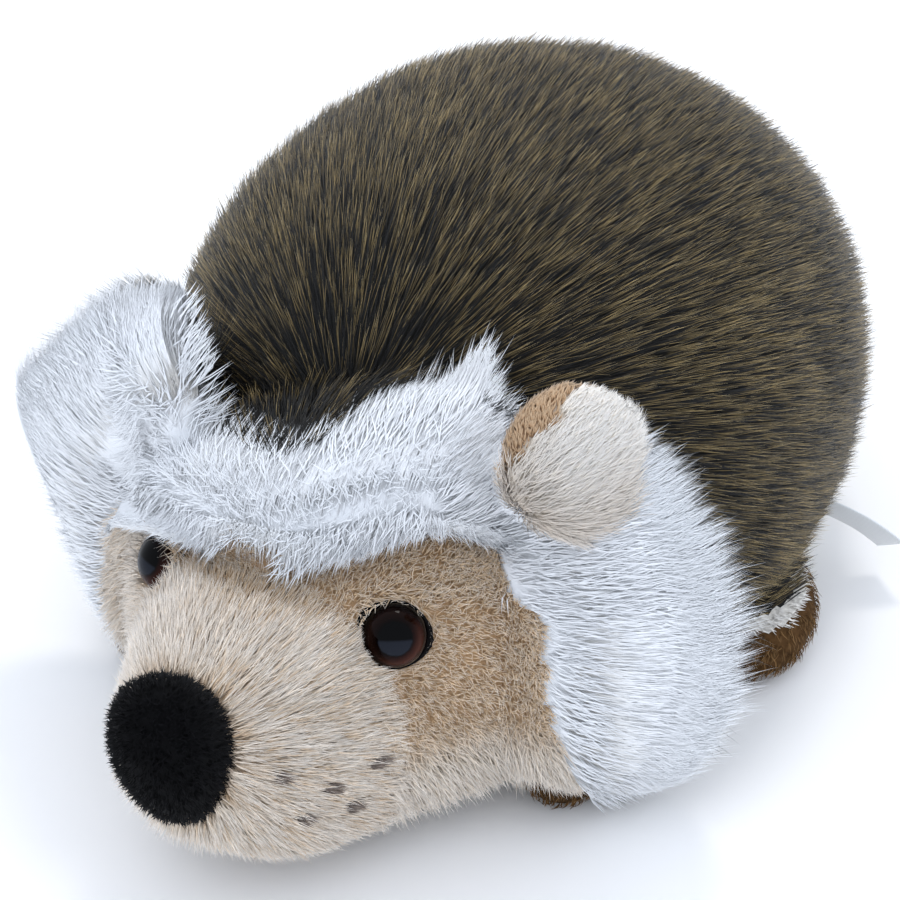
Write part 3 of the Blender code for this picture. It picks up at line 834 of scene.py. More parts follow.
FOOT = pile_material(
    "foot_plush",
    ((0.0, (0.040, 0.018, 0.006)), (0.5, (0.130, 0.066, 0.024)), (1.0, (0.280, 0.170, 0.075))),
    ((0.0, (0.030, 0.015, 0.005)), (1.0, (0.120, 0.065, 0.028))),
    rough=0.9, sheen=0.0, spread=0.4, specular=0.1)
NOSE = pile_material(
    "nose_plush",
    ((0.0, (0.001, 0.001, 0.001)), (1.0, (0.005, 0.005, 0.006))),
    ((0.0, (0.001, 0.001, 0.001)), (1.0, (0.003, 0.003, 0.004))),
    rough=0.9, sheen=0.05, spread=0.4, specular=0.10)
MARKS = pile_material(
    "muzzle_spots",
    ((0.0, (0.30, 0.22, 0.16)), (0.4, (0.10, 0.075, 0.062)), (1.0, (0.26, 0.20, 0.16))),
    ((0.0, (0.10, 0.08, 0.07)), (1.0, (0.16, 0.13, 0.11))), spread=0.3)


# ================================================================ coats on the skin
def back_coat(surface, region, count, seed):
    """Long brown pile, black and golden tuft by tuft, that runs away from the crown."""
    rng = np.random.default_rng(seed)
    place, normal, flat = surface.roots(region, count, rng)
    flow = unit(place - CROWN)
    out = np.linalg.norm(place - CROWN, axis=1)
    patches, broad = lattice_noise(place, 0.0011, 5), lattice_noise(place, 0.012, 6)
    # lighter strands with the brightest tips: partly the pile's own pale hairs, partly painted glints
    guard_and_glint = rng.random(count) < 0.12
    length = (0.0118 + 0.0022 * broad) * rng.uniform(0.82, 1.18, count)
    length[guard_and_glint] *= 1.15
    front = smoothstep(0.012, 0.001, place[:, 1] - CROWN[1]) * smoothstep(0.048, 0.038, np.abs(place[:, 0]))
    low = smoothstep(SEAM_LEVEL + 0.016, SEAM_LEVEL + 0.002, place[:, 2])
    for share, shorter, pull in ((front, 0.50, (0.0, 1.3, 0.4)), (low, 0.45, (0.0, 0.8, 0.45))):
        length *= 1.0 - shorter * share
        flow = unit(flow + np.array(pull) * share[:, None])
    rise, settle = tilts(rng, count, (36.0, 7.0), (13.0, 7.0))
    lines = clumped(lay_down(place, normal, flow, length, rise, settle, 0.10, rng), place, 0.0016, 0.36, 11)
    dark = 0.47 + 0.12 * smoothstep(0.055, 0.02, out)
    mark = (0.60 * patches + 0.40 * rng.random(count) < dark).astype(float)
    shade = np.clip(0.25 * broad + 0.70 * rng.random(count), 0.0, 1.0)
    mark, shade = np.where(guard_and_glint, 0.0, mark), np.where(guard_and_glint, 1.0, shade)
    width = np.where(guard_and_glint, 0.00007, 0.00010) * rng.uniform(0.75, 1.25, count)
    build_tufts("coat_" + region, lines, normal, width, flat, mark, shade, BACK, "back_plush", blend=0.50)


def round_the_eyes(place, flow, length, rise, settle, rng):
    """Pile beside an eye is short, stands up and leans every way, some of it over the eye's edge."""
    for side, middle in EYES.items():
        over, above = EYE_PILE[side]
        away = place - middle
        distance = np.linalg.norm(away, axis=1)
        share = smoothstep(EYE_RADIUS + 0.0030, EYE_RADIUS - 0.0004, distance)
        lean = rng.normal(0.0, 0.5, place.shape) - over * unit(away)
        flow = unit(flow * (1.0 - 0.8 * share[:, None]) + share[:, None] * lean)
        depth = -(away @ np.array(EYE_LOOK[side]))
        lid = smoothstep(0.0, 0.6, unit(away)[:, 2])
        wanted = np.clip((depth + above + 0.0014 * lid) / 0.80, 0.0022, 0.0085)
        length = length + share * (wanted * rng.uniform(0.75, 1.15, len(place)) - length)
        rise = rise + share * (np.radians(80.0 - 25.0 * lid) - rise)
        settle = settle + share * (np.radians(46.0 - 40.0 * lid) - settle)
    return flow, length, rise, settle


def rooted_clear(place):
    """Which roots don't lie inside an eye."""
    keep = np.ones(len(place), bool)
    for middle in EYES.values():
        keep &= np.linalg.norm(place - middle, axis=1) > DOME_RADIUS - ROOT_MARGIN
    return keep


def over_the_eyes(lines, rng, clearance=0.0002):
    """Bends and tips that would end inside an eye lie on it instead."""
    for line in lines[1:]:
        for middle in EYES.values():
            away = line - middle
            distance = np.linalg.norm(away, axis=1)
            out = DOME_RADIUS + clearance + 0.0004 * rng.random(len(line))
            inside = distance < out
            line[inside] += (unit(away) * (out - distance)[:, None])[inside]
    return lines


def cream_share(place):
    """0 on the tan cheeks and brow, 1 on the cream muzzle and under the cheeks."""
    x, y, z = place.T
    edge = -0.0060 - 0.0090 * smoothstep(0.0, 0.006, z)
    ahead = smoothstep(0.0034, -0.0034, y - edge + 0.0050 * (lattice_noise(place, 0.0030, 14) - 0.5))
    under = smoothstep(-0.0210, -0.0290, z)
    far_side = 0.8 * smoothstep(-0.024, -0.029, x)
    return np.clip(np.maximum(np.maximum(ahead, under), far_side), 0.0, 1.0)


def brow_painted_shade(place):
    """1 on the brow between the eyes, under the white band, where the pile is darkened as painted shade from
    the band.
    """
    x, y, z = place.T
    return smoothstep(0.001, 0.005, z) * smoothstep(0.018, 0.006, x) * smoothstep(-0.026, -0.018, x) \
        * smoothstep(-0.016, -0.011, y)


def face_coat(surface, count, seed):
    """Short tan velour on the cheeks and the brow, cream and longer under them."""
    rng = np.random.default_rng(seed)
    place, normal, flat = surface.roots("face", 4 * count, rng)
    hem = np.zeros(len(place))                      # along the ruff, where the pile is close and smooth
    for side, sign in SIDES.items():
        _, s, turn, _ = fan_place(side, place)
        near = (place[:, 0] * sign > 0.0) & (place[:, 1] > 0.008)
        hem = np.maximum(hem, near * smoothstep(0.22, 0.06, cheek_edge(turn) - s))
    hidden = smoothstep(0.026, 0.034, place[:, 1])
    keep = rooted_clear(place) & (rng.random(len(place)) < (0.42 + 0.58 * hem) * (1.0 - 0.9 * hidden))
    place, normal, flat, hem = kept(keep, count, place, normal, flat, hem)
    count = len(place)
    cream = cream_share(place)
    flow = unit(place - FOREHEAD)
    flow = unit(flow + np.array((0.0, 0.1, -0.9)) * cream[:, None])
    length = (0.0032 + 0.0034 * cream) * rng.uniform(0.7, 1.25, count)
    jowl = smoothstep(-0.0330, -0.0380, place[:, 2]) * smoothstep(0.038, 0.044, np.abs(place[:, 0]))
    length *= 1.0 - 0.6 * jowl
    border = smoothstep(0.6, 1.0, hem)
    rise, settle = tilts(rng, count, (60.0 - 18.0 * cream - 25.0 * border, 12.0),
                         (40.0 - 24.0 * cream * (1.0 - border) - 28.0 * border, 22.0))
    flow, length, rise, settle = round_the_eyes(place, flow, length, rise, settle, rng)
    curl = (0.95 - 0.72 * cream)[:, None]
    lines = lay_down(place, normal, flow, length, rise, settle, curl, rng)
    lines = over_the_eyes(clumped(lines, place, 0.0018, 0.25, 21), rng)
    mark = np.clip(cream + rng.normal(0.0, 0.12, count), 0.0, 1.0)
    # painted shade: the brow's pile is darkened for the band's shadow
    shade = speckled(place, 0.0022, 7, 0.4, rng) * (1.0 - brow_painted_shade(place))
    width = 0.00010 * rng.uniform(0.75, 1.25, count)
    build_tufts("coat_face", lines, normal, width, flat, mark, shade, FACE, "face_plush")


def muzzle_flow(place):
    """The muzzle's pile runs back from the nose."""
    return unit(unit(place - NOSE_CENTRE) + np.array((0.0, 0.35, 0.0)))


def muzzle_coat(surface, count, seed):
    rng = np.random.default_rng(seed)
    place, normal, flat = surface.roots("muzzle", count, rng)
    place, normal, flat = kept(rooted_clear(place), count, place, normal, flat)
    count = len(place)
    cream = cream_share(place)
    flow = muzzle_flow(place)
    length = (0.0052 + 0.0020 * cream) * rng.uniform(0.75, 1.2, count)
    out = np.array([max(0.0, -depth_in_nose(p)) for p in place])
    rim = smoothstep(0.0045, 0.0005, out)           # beside the nose the pile stands up
    rise, settle = tilts(rng, count, (42.0 + 34.0 * rim, 8.0), (16.0 + 22.0 * rim, 9.0))
    flow, length, rise, settle = round_the_eyes(place, flow, length, rise, settle, rng)
    lines = lay_down(place, normal, flow, length, rise, settle, 0.20, rng)
    lines = over_the_eyes(clumped(lines, place, 0.0022, 0.25, 31), rng)
    warm = smoothstep(-0.016, 0.014, place[:, 0])
    tan = smoothstep(0.42, 0.72, 0.5 * lattice_noise(place, 0.0020, 18) + 0.5 * rng.random(count))
    # painted shade: the muzzle's top is darkened and made a little tanner, and the brow under the band is
    # darkened, for the shade that falls there
    top = smoothstep(0.001, 0.008, place[:, 2])
    mark = np.clip(cream - (0.35 + 0.50 * warm) * tan - 0.40 * top, 0.0, 1.0)
    shade = speckled(place, 0.0024, 8, 0.4, rng)
    shade *= (1.0 - 0.8 * brow_painted_shade(place) * (1.0 - cream)) * (1.0 - 0.70 * top)
    width = 0.00010 * rng.uniform(0.75, 1.25, count)
    build_tufts("coat_muzzle", lines, normal, width, flat, mark, shade, FACE, "muzzle_plush")


def belly_coat(surface, count, seed):
    """Pale pile, thin under the body and close at its sides, where it hangs over the hind feet."""
    rng = np.random.default_rng(seed)
    place, normal, flat = surface.roots("belly", 3 * count, rng)
    keep = rng.random(len(place)) < 0.22 + 0.78 * smoothstep(-0.85, -0.60, normal[:, 2])
    place, normal, flat = kept(keep, count, place, normal, flat)
    count = len(place)
    flow = unit(np.array((0.0, 1.0, 0.0)) + place * np.array((6.0, 0.0, 0.0)))
    side_on = smoothstep(-0.75, -0.30, normal[:, 2])
    flow = unit(flow + np.array((0.0, 0.0, -2.5)) * side_on[:, None])
    length = (0.0050 - 0.0026 * side_on) * rng.uniform(0.75, 1.2, count)
    rise, settle = tilts(rng, count, (38.0, 8.0), (12.0, 8.0))
    lines = clumped(lay_down(place, normal, flow, length, rise, settle, 0.22, rng), place, 0.0026, 0.2, 41)
    mark = lattice_noise(place, 0.004, 9) * 0.4
    shade = rng.random(count)
    width = 0.00015 * rng.uniform(0.8, 1.25, count)
    build_tufts("coat_belly", lines, normal, width, flat, mark, shade, BELLY, "belly_plush")


def ear_coat(surface, region, count, seed):
    """Cream hair that sweeps over the lining, or the tan velour of the rim and the back."""
    rng = np.random.default_rng(seed)
    place, normal, flat = surface.roots(region, count, rng)
    left = place[:, :1] > 0.0
    centre = np.where(left, EARS["left"][0], EARS["right"][0])
    mirror = np.where(left, (1.0, 1.0, 1.0), (-1.0, 1.0, 1.0))
    flow = unit(place - (centre + np.array((-0.0040, -0.0080, -0.0105)) * mirror))
    inner_end = smoothstep(-0.002, 0.010, ((centre - place) * mirror)[:, 0])
    height = place[:, 2] - centre[:, 2]
    if region == "ear_inner":
        flow = unit(0.35 * flow + np.array((0.58, 0.66, 0.40)) * mirror)
        length = (0.0066 - 0.0030 * smoothstep(0.000, 0.010, height)) * rng.uniform(0.6, 1.2, count)
        angles, width, pull = ((34.0, 8.0), (12.0, 8.0)), 0.00010, 0.3
        mark, base_painted_shade = 1.0 - 0.30 * inner_end - 0.25 * smoothstep(0.004, -0.010, height), 0.0
    else:
        length = 0.0022 * rng.uniform(0.7, 1.2, count)
        angles, width, pull = ((45.0, 10.0), (20.0, 10.0)), 0.00016, 0.15
        mark, base_painted_shade = np.zeros(count), 0.7
    rise, settle = tilts(rng, count, *angles)
    lines = clumped(lay_down(place, normal, flow, length, rise, settle, 0.30, rng), place, 0.0020, pull, 51)
    # painted shade: the rim's and back's pile is darkened towards the ear's inner end, where its base meets
    # the band
    shade = speckled(place, 0.0022, 12, 0.5, rng) * (1.0 - base_painted_shade * inner_end)
    width = width * rng.uniform(0.8, 1.25, count)
    build_tufts("coat_" + region, lines, normal, width, flat, mark, shade, EAR, "ear_plush")


def foot_coat(surface, count, seed):
    rng = np.random.default_rng(seed)
    place, normal, flat = surface.roots("foot", count, rng)
    place, normal, flat = kept(normal[:, 2] > -0.75, count, place, normal, flat)
    count = len(place)
    flow = np.tile(np.array((0.0, -0.6, -1.0)), (count, 1))
    length = 0.0026 * rng.uniform(0.7, 1.2, count)
    rise, settle = tilts(rng, count, (34.0, 8.0), (12.0, 8.0))
    lines = lay_down(place, normal, flow, length, rise, settle, 0.25, rng)
    mark = lattice_noise(place, 0.003, 13) * 0.6
    width = 0.00014 * rng.uniform(0.8, 1.25, count)
    build_tufts("coat_feet", lines, normal, width, flat, mark, rng.random(count), FOOT, "foot_plush")


# ================================================================ ruff
def out_of_body(points, tree, clearance):
    """Points that lie in the brown coat are brought out to its surface."""
    moved = points.copy()
    for i, p in enumerate(points + O):
        spot, face_normal, _, distance = tree.find_nearest(Vector(p), 0.02)
        if spot is None:
            continue
        height = (Vector(p) - spot).dot(face_normal)
        if height < clearance[i] and distance < 0.012:
            moved[i] = np.array(spot + face_normal * clearance[i]) - O
    return moved


def fan_coat(side, count, seed):
    """Long white pile on both faces of a side ruff, drawn together in locks at its rim."""
    rng = np.random.default_rng(seed)
    t = FAN_START[side] + (1.0 - FAN_START[side]) * rng.random(count)
    face = np.where(rng.random(count) < 0.62, 1.0, -1.0)
    end = rng.random(count) < 0.07                  # these close the flap's upper end
    t = np.where(end, FAN_START[side] + 0.03 * rng.random(count), t)
    face = np.where(end, rng.uniform(-1.0, 1.0, count), face)
    s0 = FLAP_START + (CORE_REACH - FLAP_START) * rng.random(count)
    tan = cheek_edge(smooth_row(FAN_STATIONS[side], t)[:, 0])
    s0 = np.where((face > 0.0) & (s0 < tan), tan + 0.18 * rng.random(count) - 0.08, s0)
    lock = np.round(t * 34.0 + 0.8 * (rng.random(count) - 0.5)) / 34.0
    reach = lattice_noise(np.stack([lock * 9.0, face, np.zeros(count)], 1), 0.35, 3)
    wisp = 0.14 * rng.random(count) ** 4
    edge = 0.970 + 0.10 * (reach - 0.5) + wisp + rng.normal(0.0, 0.025, count)
    s1 = np.minimum(s0 + rng.uniform(0.34, 0.54, count), edge)
    inner, outer, thick, across = ruff_frame(fan_chord, side, t)
    u = (s0 - CORE_FRONT) / (CORE_REACH - CORE_FRONT)
    core = 0.96 * thick * CORE_FAT * np.sqrt(np.maximum(u * (1.0 - u), 0.0))
    rings = [inner + (outer - inner) * s0[:, None] + across * (face * core)[:, None]]
    loose = rng.random(count) < 0.06
    n1 = np.where(loose, rng.uniform(0.90, 1.06, count), rng.uniform(0.985, 1.010, count))
    for share in (0.45, 1.0):
        s = s0 + (s1 - s0) * share
        half = np.sqrt(np.clip(s, 0.05, 0.95) * np.clip(1.0 - s, 0.05, 0.95))
        start = core / np.maximum(thick * half, 1e-9)
        n = np.maximum(n1 - 0.02 * (1.0 - share), np.minimum(start * 0.9, 1.0) * (1.0 - share))
        drift = (lock - t) * 0.45 * smoothstep(0.5, 1.0, s) * share ** 2
        drift = np.where(end, -0.04 * share * (1.0 - face ** 2), drift)
        rings.append(ruff_point(fan_chord, side, np.clip(t + drift, 0.0, 1.0), s, n * face))
    at_edge = smoothstep(0.75, 1.0, s1)
    rings[-1] = rings[-1] + rng.normal(0.0, 0.0001, (count, 3)) \
        + rng.normal(0.0, 0.0005, (count, 3)) * at_edge[:, None]
    normal = ruff_normal(fan_chord, side, t, s0 + 0.5 * (s1 - s0), np.where(face < 0.0, -1.0, 1.0))
    width = 0.00012 * rng.uniform(0.8, 1.3, count) * (1.0 - 0.35 * at_edge)
    out = (s0 - FLAP_START) / (CORE_REACH - FLAP_START)
    flat = np.stack([0.01 + 0.98 * t, np.where(face > 0, 0.49 - 0.48 * out, 0.51 + 0.48 * out)], 1)
    shade = speckled(rings[1], 0.004, 15, 0.35, rng)
    mark = np.clip(0.45 - 3.0 * (s0 - np.maximum(tan, 0.0)) + 0.1 * rng.random(count), 0.0, 0.5)
    build_tufts("coat_ruff_" + side, rings, normal, width, flat, mark, shade, RUFF, "ruff_plush",
                fat=0.15, blend=1.0 - 0.7 * at_edge)


def band_coat(count, seed, body_tree, head_tree):
    """White pile of the band: from a parting it runs forward over the brow and back over the brown."""
    rng = np.random.default_rng(seed)
    t = rng.random(count)
    brow = even_row(BAND_BROW, t)
    back = even_row(BAND_BACK, t) + QUIFF_REACH * np.exp(-((t - QUIFF_AT) / QUIFF_WIDE) ** 2)
    ahead = rng.random(count) < 0.30
    low, high = np.where(ahead, brow + 0.08, 0.08), np.where(ahead, 0.16, np.maximum(back - 0.20, 0.4))
    s0 = low + (high - low) * rng.random(count)
    lock = np.round(t * 40.0) / 40.0
    reach = lattice_noise(np.stack([lock * 9.0, np.zeros(count), np.zeros(count)], 1), 0.3, 4)
    wisp = ~ahead & (rng.random(count) < 0.10)      # thin long hairs over the brown
    s0 = np.where(wisp, back - 0.22 * rng.random(count), s0)
    longest = 0.22 + 0.26 * np.exp(-((t - 0.40) / 0.16) ** 2)
    spike = np.where(wisp, longest * rng.random(count) ** 1.5, 0.05 * rng.random(count) ** 3)
    to_brow = np.maximum(s0 - rng.uniform(0.16, 0.36, count), brow + 0.03 * rng.normal(0, 1, count))
    to_back = np.minimum(s0 + rng.uniform(0.34, 0.58, count),
                         back + 0.10 * (reach - 0.5) + spike + 0.03 * rng.normal(0, 1, count))
    s1 = np.where(ahead, to_brow, to_back)
    loose = rng.random(count) < 0.06
    n1 = np.where(loose, rng.uniform(0.88, 1.08, count), rng.uniform(0.985, 1.010, count))
    sweep = 0.16 * (smoothstep(0.70, 1.0, t) - smoothstep(0.36, 0.0, t))
    rings = []
    for share in (0.0, 0.48, 1.0):
        s = s0 + (s1 - s0) * share
        n = 0.55 * (1.0 - share) + n1 * share ** 0.5
        drift = (lock - t) * 0.5 * share ** 3 + sweep * share
        rings.append(ruff_point(band_chord, "top", np.clip(t + drift, 0.0, 1.0), s, n))
    at_edge = np.maximum(smoothstep(0.15, 0.0, back - s1), smoothstep(0.08, 0.0, s1 - brow))
    lift = np.array((0.0, 0.0, 1.0)) * (at_edge * 0.0010 * rng.random(count))[:, None]
    rings[-1] = rings[-1] + lift + rng.normal(0.0, 0.0001, (count, 3)) \
        + rng.normal(0.0, 0.0006, (count, 3)) * at_edge[:, None]
    free = np.ones(count, bool)                     # not pressed far out of its place by the body
    for k, height in ((1, 0.0006), (2, 0.0012)):
        before = rings[k]
        rings[k] = out_of_body(rings[k], body_tree, height * rng.uniform(0.6, 1.6, count))
        rings[k] = out_of_body(rings[k], head_tree, 0.5 * height * rng.uniform(0.5, 2.0, count))
        free &= np.linalg.norm(rings[k] - before, axis=1) < 0.0045
    rings = over_the_eyes(rings, rng, 0.0007)
    normal = ruff_normal(band_chord, "top", t, s0 + 0.5 * (s1 - s0), np.ones(count))
    width = 0.00012 * rng.uniform(0.8, 1.3, count) * (1.0 - 0.35 * at_edge) * np.where(wisp, 0.7, 1.0)
    flat = np.stack([0.01 + 0.98 * t, 0.01 + 0.98 * np.clip(s0, 0.0, 1.0)], 1)
    shade = speckled(rings[1], 0.004, 16, 0.35, rng)
    mark = np.where(ahead, np.clip(0.5 - 2.4 * (s0 - brow), 0.0, 0.6), 0.0)
    *rings, normal, width, flat, mark, shade, at_edge = kept(
        free, count, *rings, normal, width, flat, mark, shade, at_edge)
    build_tufts("coat_ruff_top", rings, normal, width, flat, mark, shade, RUFF, "ruff_plush",
                fat=0.15, blend=1.0 - 0.5 * at_edge)


def ruff_under_coat(surface, count, seed):
    """Shorter white pile over the sewn flaps, so that no cloth shows between the locks."""
    rng = np.random.default_rng(seed)
    place, normal, flat = surface.roots("ruff", 4 * count, rng)
    outward = unit((place - np.array((0.0, 0.0, RUFF_CENTRE_Z))) * np.array((1.0, 0.0, 1.0)))
    _, s = band_place(place)
    patch = under_ear(place).astype(float)
    band = smoothstep(0.044, 0.034, np.abs(place[:, 0])) * (place[:, 2] > 0.0) * (1.0 - patch)
    brow, back = band * smoothstep(0.20, 0.0, s), band * smoothstep(0.22, 0.42, s)
    fluff = band * np.exp(-((s - 0.18) / 0.12) ** 2)        # where the band's pile parts
    for share, way in ((brow, (0.0, -1.0, -0.4)), (back, (0.0, 1.0, 0.35))):
        outward = unit(outward + share[:, None] * (np.array(way) - outward))
    rim = smoothstep(0.45, 0.85, dot(normal, outward)[:, 0]) * (1.0 - back)
    for side, sign in SIDES.items():
        t, s, turn, across = fan_place(side, place)
        here = place[:, 0] * sign > 0.0
        front = here & (dot(normal, across)[:, 0] > 0.0)
        patch = np.maximum(patch, front * smoothstep(0.30, 0.14, s - cheek_edge(turn)))
        patch = np.maximum(patch, here * (s > -0.1) * smoothstep(0.26, 0.16, t))
        rim = np.where(here & (s > -0.1), rim * smoothstep(0.12, 0.24, t), rim)
    keep = rng.random(len(place)) < 0.12 + 0.88 * np.maximum(np.maximum(rim, patch), fluff)
    place, normal, flat, outward, rim, patch, fluff = kept(
        keep, count, place, normal, flat, outward, rim, patch, fluff)
    count = len(place)
    flow = outward + np.array((0.0, 0.2, 0.0))
    length = (0.0085 - 0.0035 * np.maximum(rim, fluff)) * rng.uniform(0.7, 1.2, count)
    rise, settle = tilts(rng, count, (9.0 + 55.0 * rim + 12.0 * patch, 3.0), (2.0 + 48.0 * rim, 2.0))
    lines = lay_down(place, normal, flow, length, rise, settle, (0.15 + 0.8 * fluff)[:, None], rng)
    shade = speckled(place, 0.004, 15, 0.35, rng)
    width = 0.00013 * rng.uniform(0.8, 1.3, count)
    build_tufts("coat_ruff_under", lines, normal, width, flat, np.zeros(count), shade, RUFF, "ruff_plush",
                fat=0.15, blend=1.0 - 0.3 * rim)


# ================================================================ nose, whisker marks, eyes, label
def nose_piece():
    """The black plush cap: a smoothed copy of its solid, brought in a little."""
    mesh_data = bmesh.new()
    mesh_data.from_mesh(NODES["nose"].data)
    bmesh.ops.remove_doubles(mesh_data, verts=mesh_data.verts, dist=1e-6)
    cap = remeshed(object_of("nose_cap", mesh_data), 0.0009)
    mesh = cap.data
    points = vertex_array(mesh)
    points = relaxed(points, edge_array(mesh), len(points), 8)
    move_vertices(mesh, points)
    move_vertices(mesh, points - unit(vertex_array(mesh, "normal")) * 0.0005)
    shade_smooth(mesh)
    point_attributes(mesh, along=0.5, mark=0.5, shade=0.5)
    dressed(cap, NOSE, "nose_plush", "nose")
    return cap


def nose_coat(cap, count, seed):
    """Very short black velour that stands up and leans every way."""
    rng = np.random.default_rng(seed)
    unwrap(cap, bpy.ops.uv.smart_project, angle_limit=math.radians(66), island_margin=0.01)
    surface = Surface(cap, ["nose"] * len(cap.data.polygons))
    place, normal, flat = surface.roots("nose", count, rng)
    place, normal, flat = kept(place[:, 1] < NOSE_CENTRE[1] + 0.012, count, place, normal, flat)
    count = len(place)
    flow = unit(rng.normal(0.0, 1.0, (count, 3)) + np.array((0.0, 0.6, 0.0)))
    length = 0.0020 * rng.uniform(0.7, 1.25, count)
    rise, settle = tilts(rng, count, (62.0, 10.0), (48.0, 14.0))
    lines = lay_down(place, normal, flow, length, rise, settle, 0.4, rng)
    width = 0.00016 * rng.uniform(0.8, 1.2, count)
    mark = lattice_noise(place, 0.002, 17)
    build_tufts("coat_nose", lines, normal, width, flat, mark, rng.random(count), NOSE, "nose_plush")


def whisker_marks(surface, seed):
    """Five small dark spots on each side of the muzzle, made of a few dark tufts each."""
    rng = np.random.default_rng(seed)
    place, normal, flat = surface.roots("muzzle", WHISKER_DRAWS, rng)
    keep = np.zeros(len(place), bool)
    for spot in WHISKER_SPOTS:
        for sign in SIDES.values():
            away = place - np.array(spot) * np.array((sign, 1.0, 1.0))
            inside = np.hypot(away[:, 2] / 0.0009, away[:, 1] / 0.0012) < 1.0
            keep |= inside & (np.linalg.norm(away, axis=1) < 0.0042)
    place, normal, flat = kept(keep, WHISKER_DRAWS, place, normal, flat)
    count = len(place)
    flow = muzzle_flow(place)
    length = 0.0034 * rng.uniform(0.8, 1.2, count)
    rise, settle = tilts(rng, count, (30.0, 6.0), (17.0, 6.0))
    lines = lay_down(place + normal * 0.0021 + flow * 0.0018, normal, flow, length, rise, settle, 0.12, rng)
    width = 0.00016 * rng.uniform(0.8, 1.2, count)
    build_tufts("whisker_marks", lines, normal, width, flat, np.zeros(count), rng.random(count), MARKS,
                "muzzle_plush")


def eye_material():
    """A dark brown ring round a black pupil, as in a clear dome; the floor's reflection in the pupil's lower
    half is painted on, and so are shade on the ring's upper left and light on its lower right.
    """
    material, tree, place = new_material("eye_plastic")
    vector, value = "ShaderNodeVectorMath", "ShaderNodeMath"
    flat = node(tree, vector, place, (1.0, 1.0, 0.0), operation="MULTIPLY").outputs["Vector"]
    radius = node(tree, vector, flat, operation="LENGTH").outputs["Value"]
    streaks = node(tree, "ShaderNodeTexNoise", Vector=place, Scale=900.0, Detail=3.0).outputs["Fac"]
    ragged = node(tree, value, streaks, 0.0005, radius, operation="MULTIPLY_ADD").outputs["Value"]
    share = node(tree, value, ragged, DOME_RADIUS, operation="DIVIDE").outputs["Value"]
    iris = ramp(tree, ((0.0, (0.0, 0.0, 0.0)), (0.54, (0.001, 0.001, 0.001)), (0.64, (0.012, 0.003, 0.002)),
                       (0.82, (0.030, 0.008, 0.004)), (0.94, (0.009, 0.003, 0.002)),
                       (1.0, (0.002, 0.001, 0.001))), share)
    # painted reflection: the pupil's lower half is painted grey-blue for the bright floor mirrored in the
    # dome, and its upper half near black
    height = node(tree, "ShaderNodeSeparateXYZ", place).outputs["Y"]
    level = node(tree, value, height, 0.5 / DOME_RADIUS, 0.5, operation="MULTIPLY_ADD").outputs["Value"]
    depth = ramp(tree, ((0.0, (0.016, 0.019, 0.027)), (0.46, (0.012, 0.014, 0.020)),
                        (0.50, (0.0008, 0.0008, 0.001)), (1.0, (0.0008, 0.0008, 0.001))), level)
    pupil = ramp(tree, greys((0.0, 1.0), (0.53, 1.0), (0.58, 0.0)), share)
    # painted shade and light: the ring is darkened towards its upper left, where the pile shades it, and
    # lightened towards its lower right
    lit_direction = (0.40 / DOME_RADIUS, -0.40 / DOME_RADIUS, 0.0)
    lit_side = node(tree, vector, place, lit_direction, operation="DOT_PRODUCT").outputs["Value"]
    warm = mix(tree, 1.0, iris, ramp(tree, greys((0.0, 0.25), (0.55, 2.2)), lit_side), "MULTIPLY")
    set_shader(tree, mix(tree, pupil, warm, depth), rough=0.03, specular=0.06)
    return material


def felt_material():
    material, tree, place = new_material("eye_felt")
    noise = node(tree, "ShaderNodeTexNoise", Vector=place, Scale=2600.0, Detail=3.0).outputs["Fac"]
    colour = ramp(tree, ((0.3, (0.003, 0.003, 0.003)), (0.8, (0.016, 0.014, 0.014))), noise)
    shader = set_shader(tree, colour, rough=0.95, specular=0.05)
    bumped(tree, shader, noise, strength=0.6, distance=0.0003)
    return material


EYE_PLASTIC, FELT = eye_material(), felt_material()


def make_eye(side, middle):
    """A moulded glossy dome with a slightly flattened front, on a felt washer."""
    turn = EYE_LOOK[side].to_track_quat("Z", "Y").to_matrix().to_4x4()
    stance = Matrix.Translation(middle - EYE_LOOK[side] * EYE_SINK[side]) @ turn
    ball = bmesh.new()
    bmesh.ops.create_uvsphere(ball, u_segments=64, v_segments=40, radius=DOME_RADIUS)
    for v in ball.verts:
        if v.co.z > 0.0:
            v.co.z *= 0.93
    dome = object_of("eye_dome_" + side, ball)
    washer = object_of("eye_felt_" + side, felt_ring())
    for obj in (dome, washer):
        obj.matrix_world = stance
        shade_smooth(obj.data)
    dressed(dome, EYE_PLASTIC, "eye_plastic", "eye_" + side)
    dressed(washer, FELT, "eye_plastic")


def felt_ring():
    """A thin ring round the dome, wider at the two corners of the eye."""
    steps, loops = 72, 10
    ragged = np.random.default_rng(71).uniform(-1.0, 1.0, steps)
    ring = bmesh.new()
    rows = []
    for a, rough in zip((2.0 * math.pi * i / steps for i in range(steps)), ragged):
        corner = 0.0009 * max(0.0, math.cos(a - math.radians(150))) ** 6 \
            + 0.0008 * max(0.0, math.cos(a + 0.2)) ** 6
        centre = DOME_RADIUS + 0.0001 + 0.5 * corner
        wide = 0.0002 + 0.5 * corner * (1.0 + 0.3 * rough)
        row = []
        for b in (2.0 * math.pi * j / loops for j in range(loops)):
            out = centre + wide * math.cos(b)
            row.append(ring.verts.new((out * math.cos(a), out * math.sin(a), 0.0006 * math.sin(b))))
        rows.append(row)
    for near, far in zip(rows, rows[1:] + rows[:1]):
        for j in range(loops):
            m = (j + 1) % loops
            ring.faces.new((near[j], far[j], far[m], near[m]))
    bmesh.ops.recalc_face_normals(ring, faces=ring.faces)
    return ring


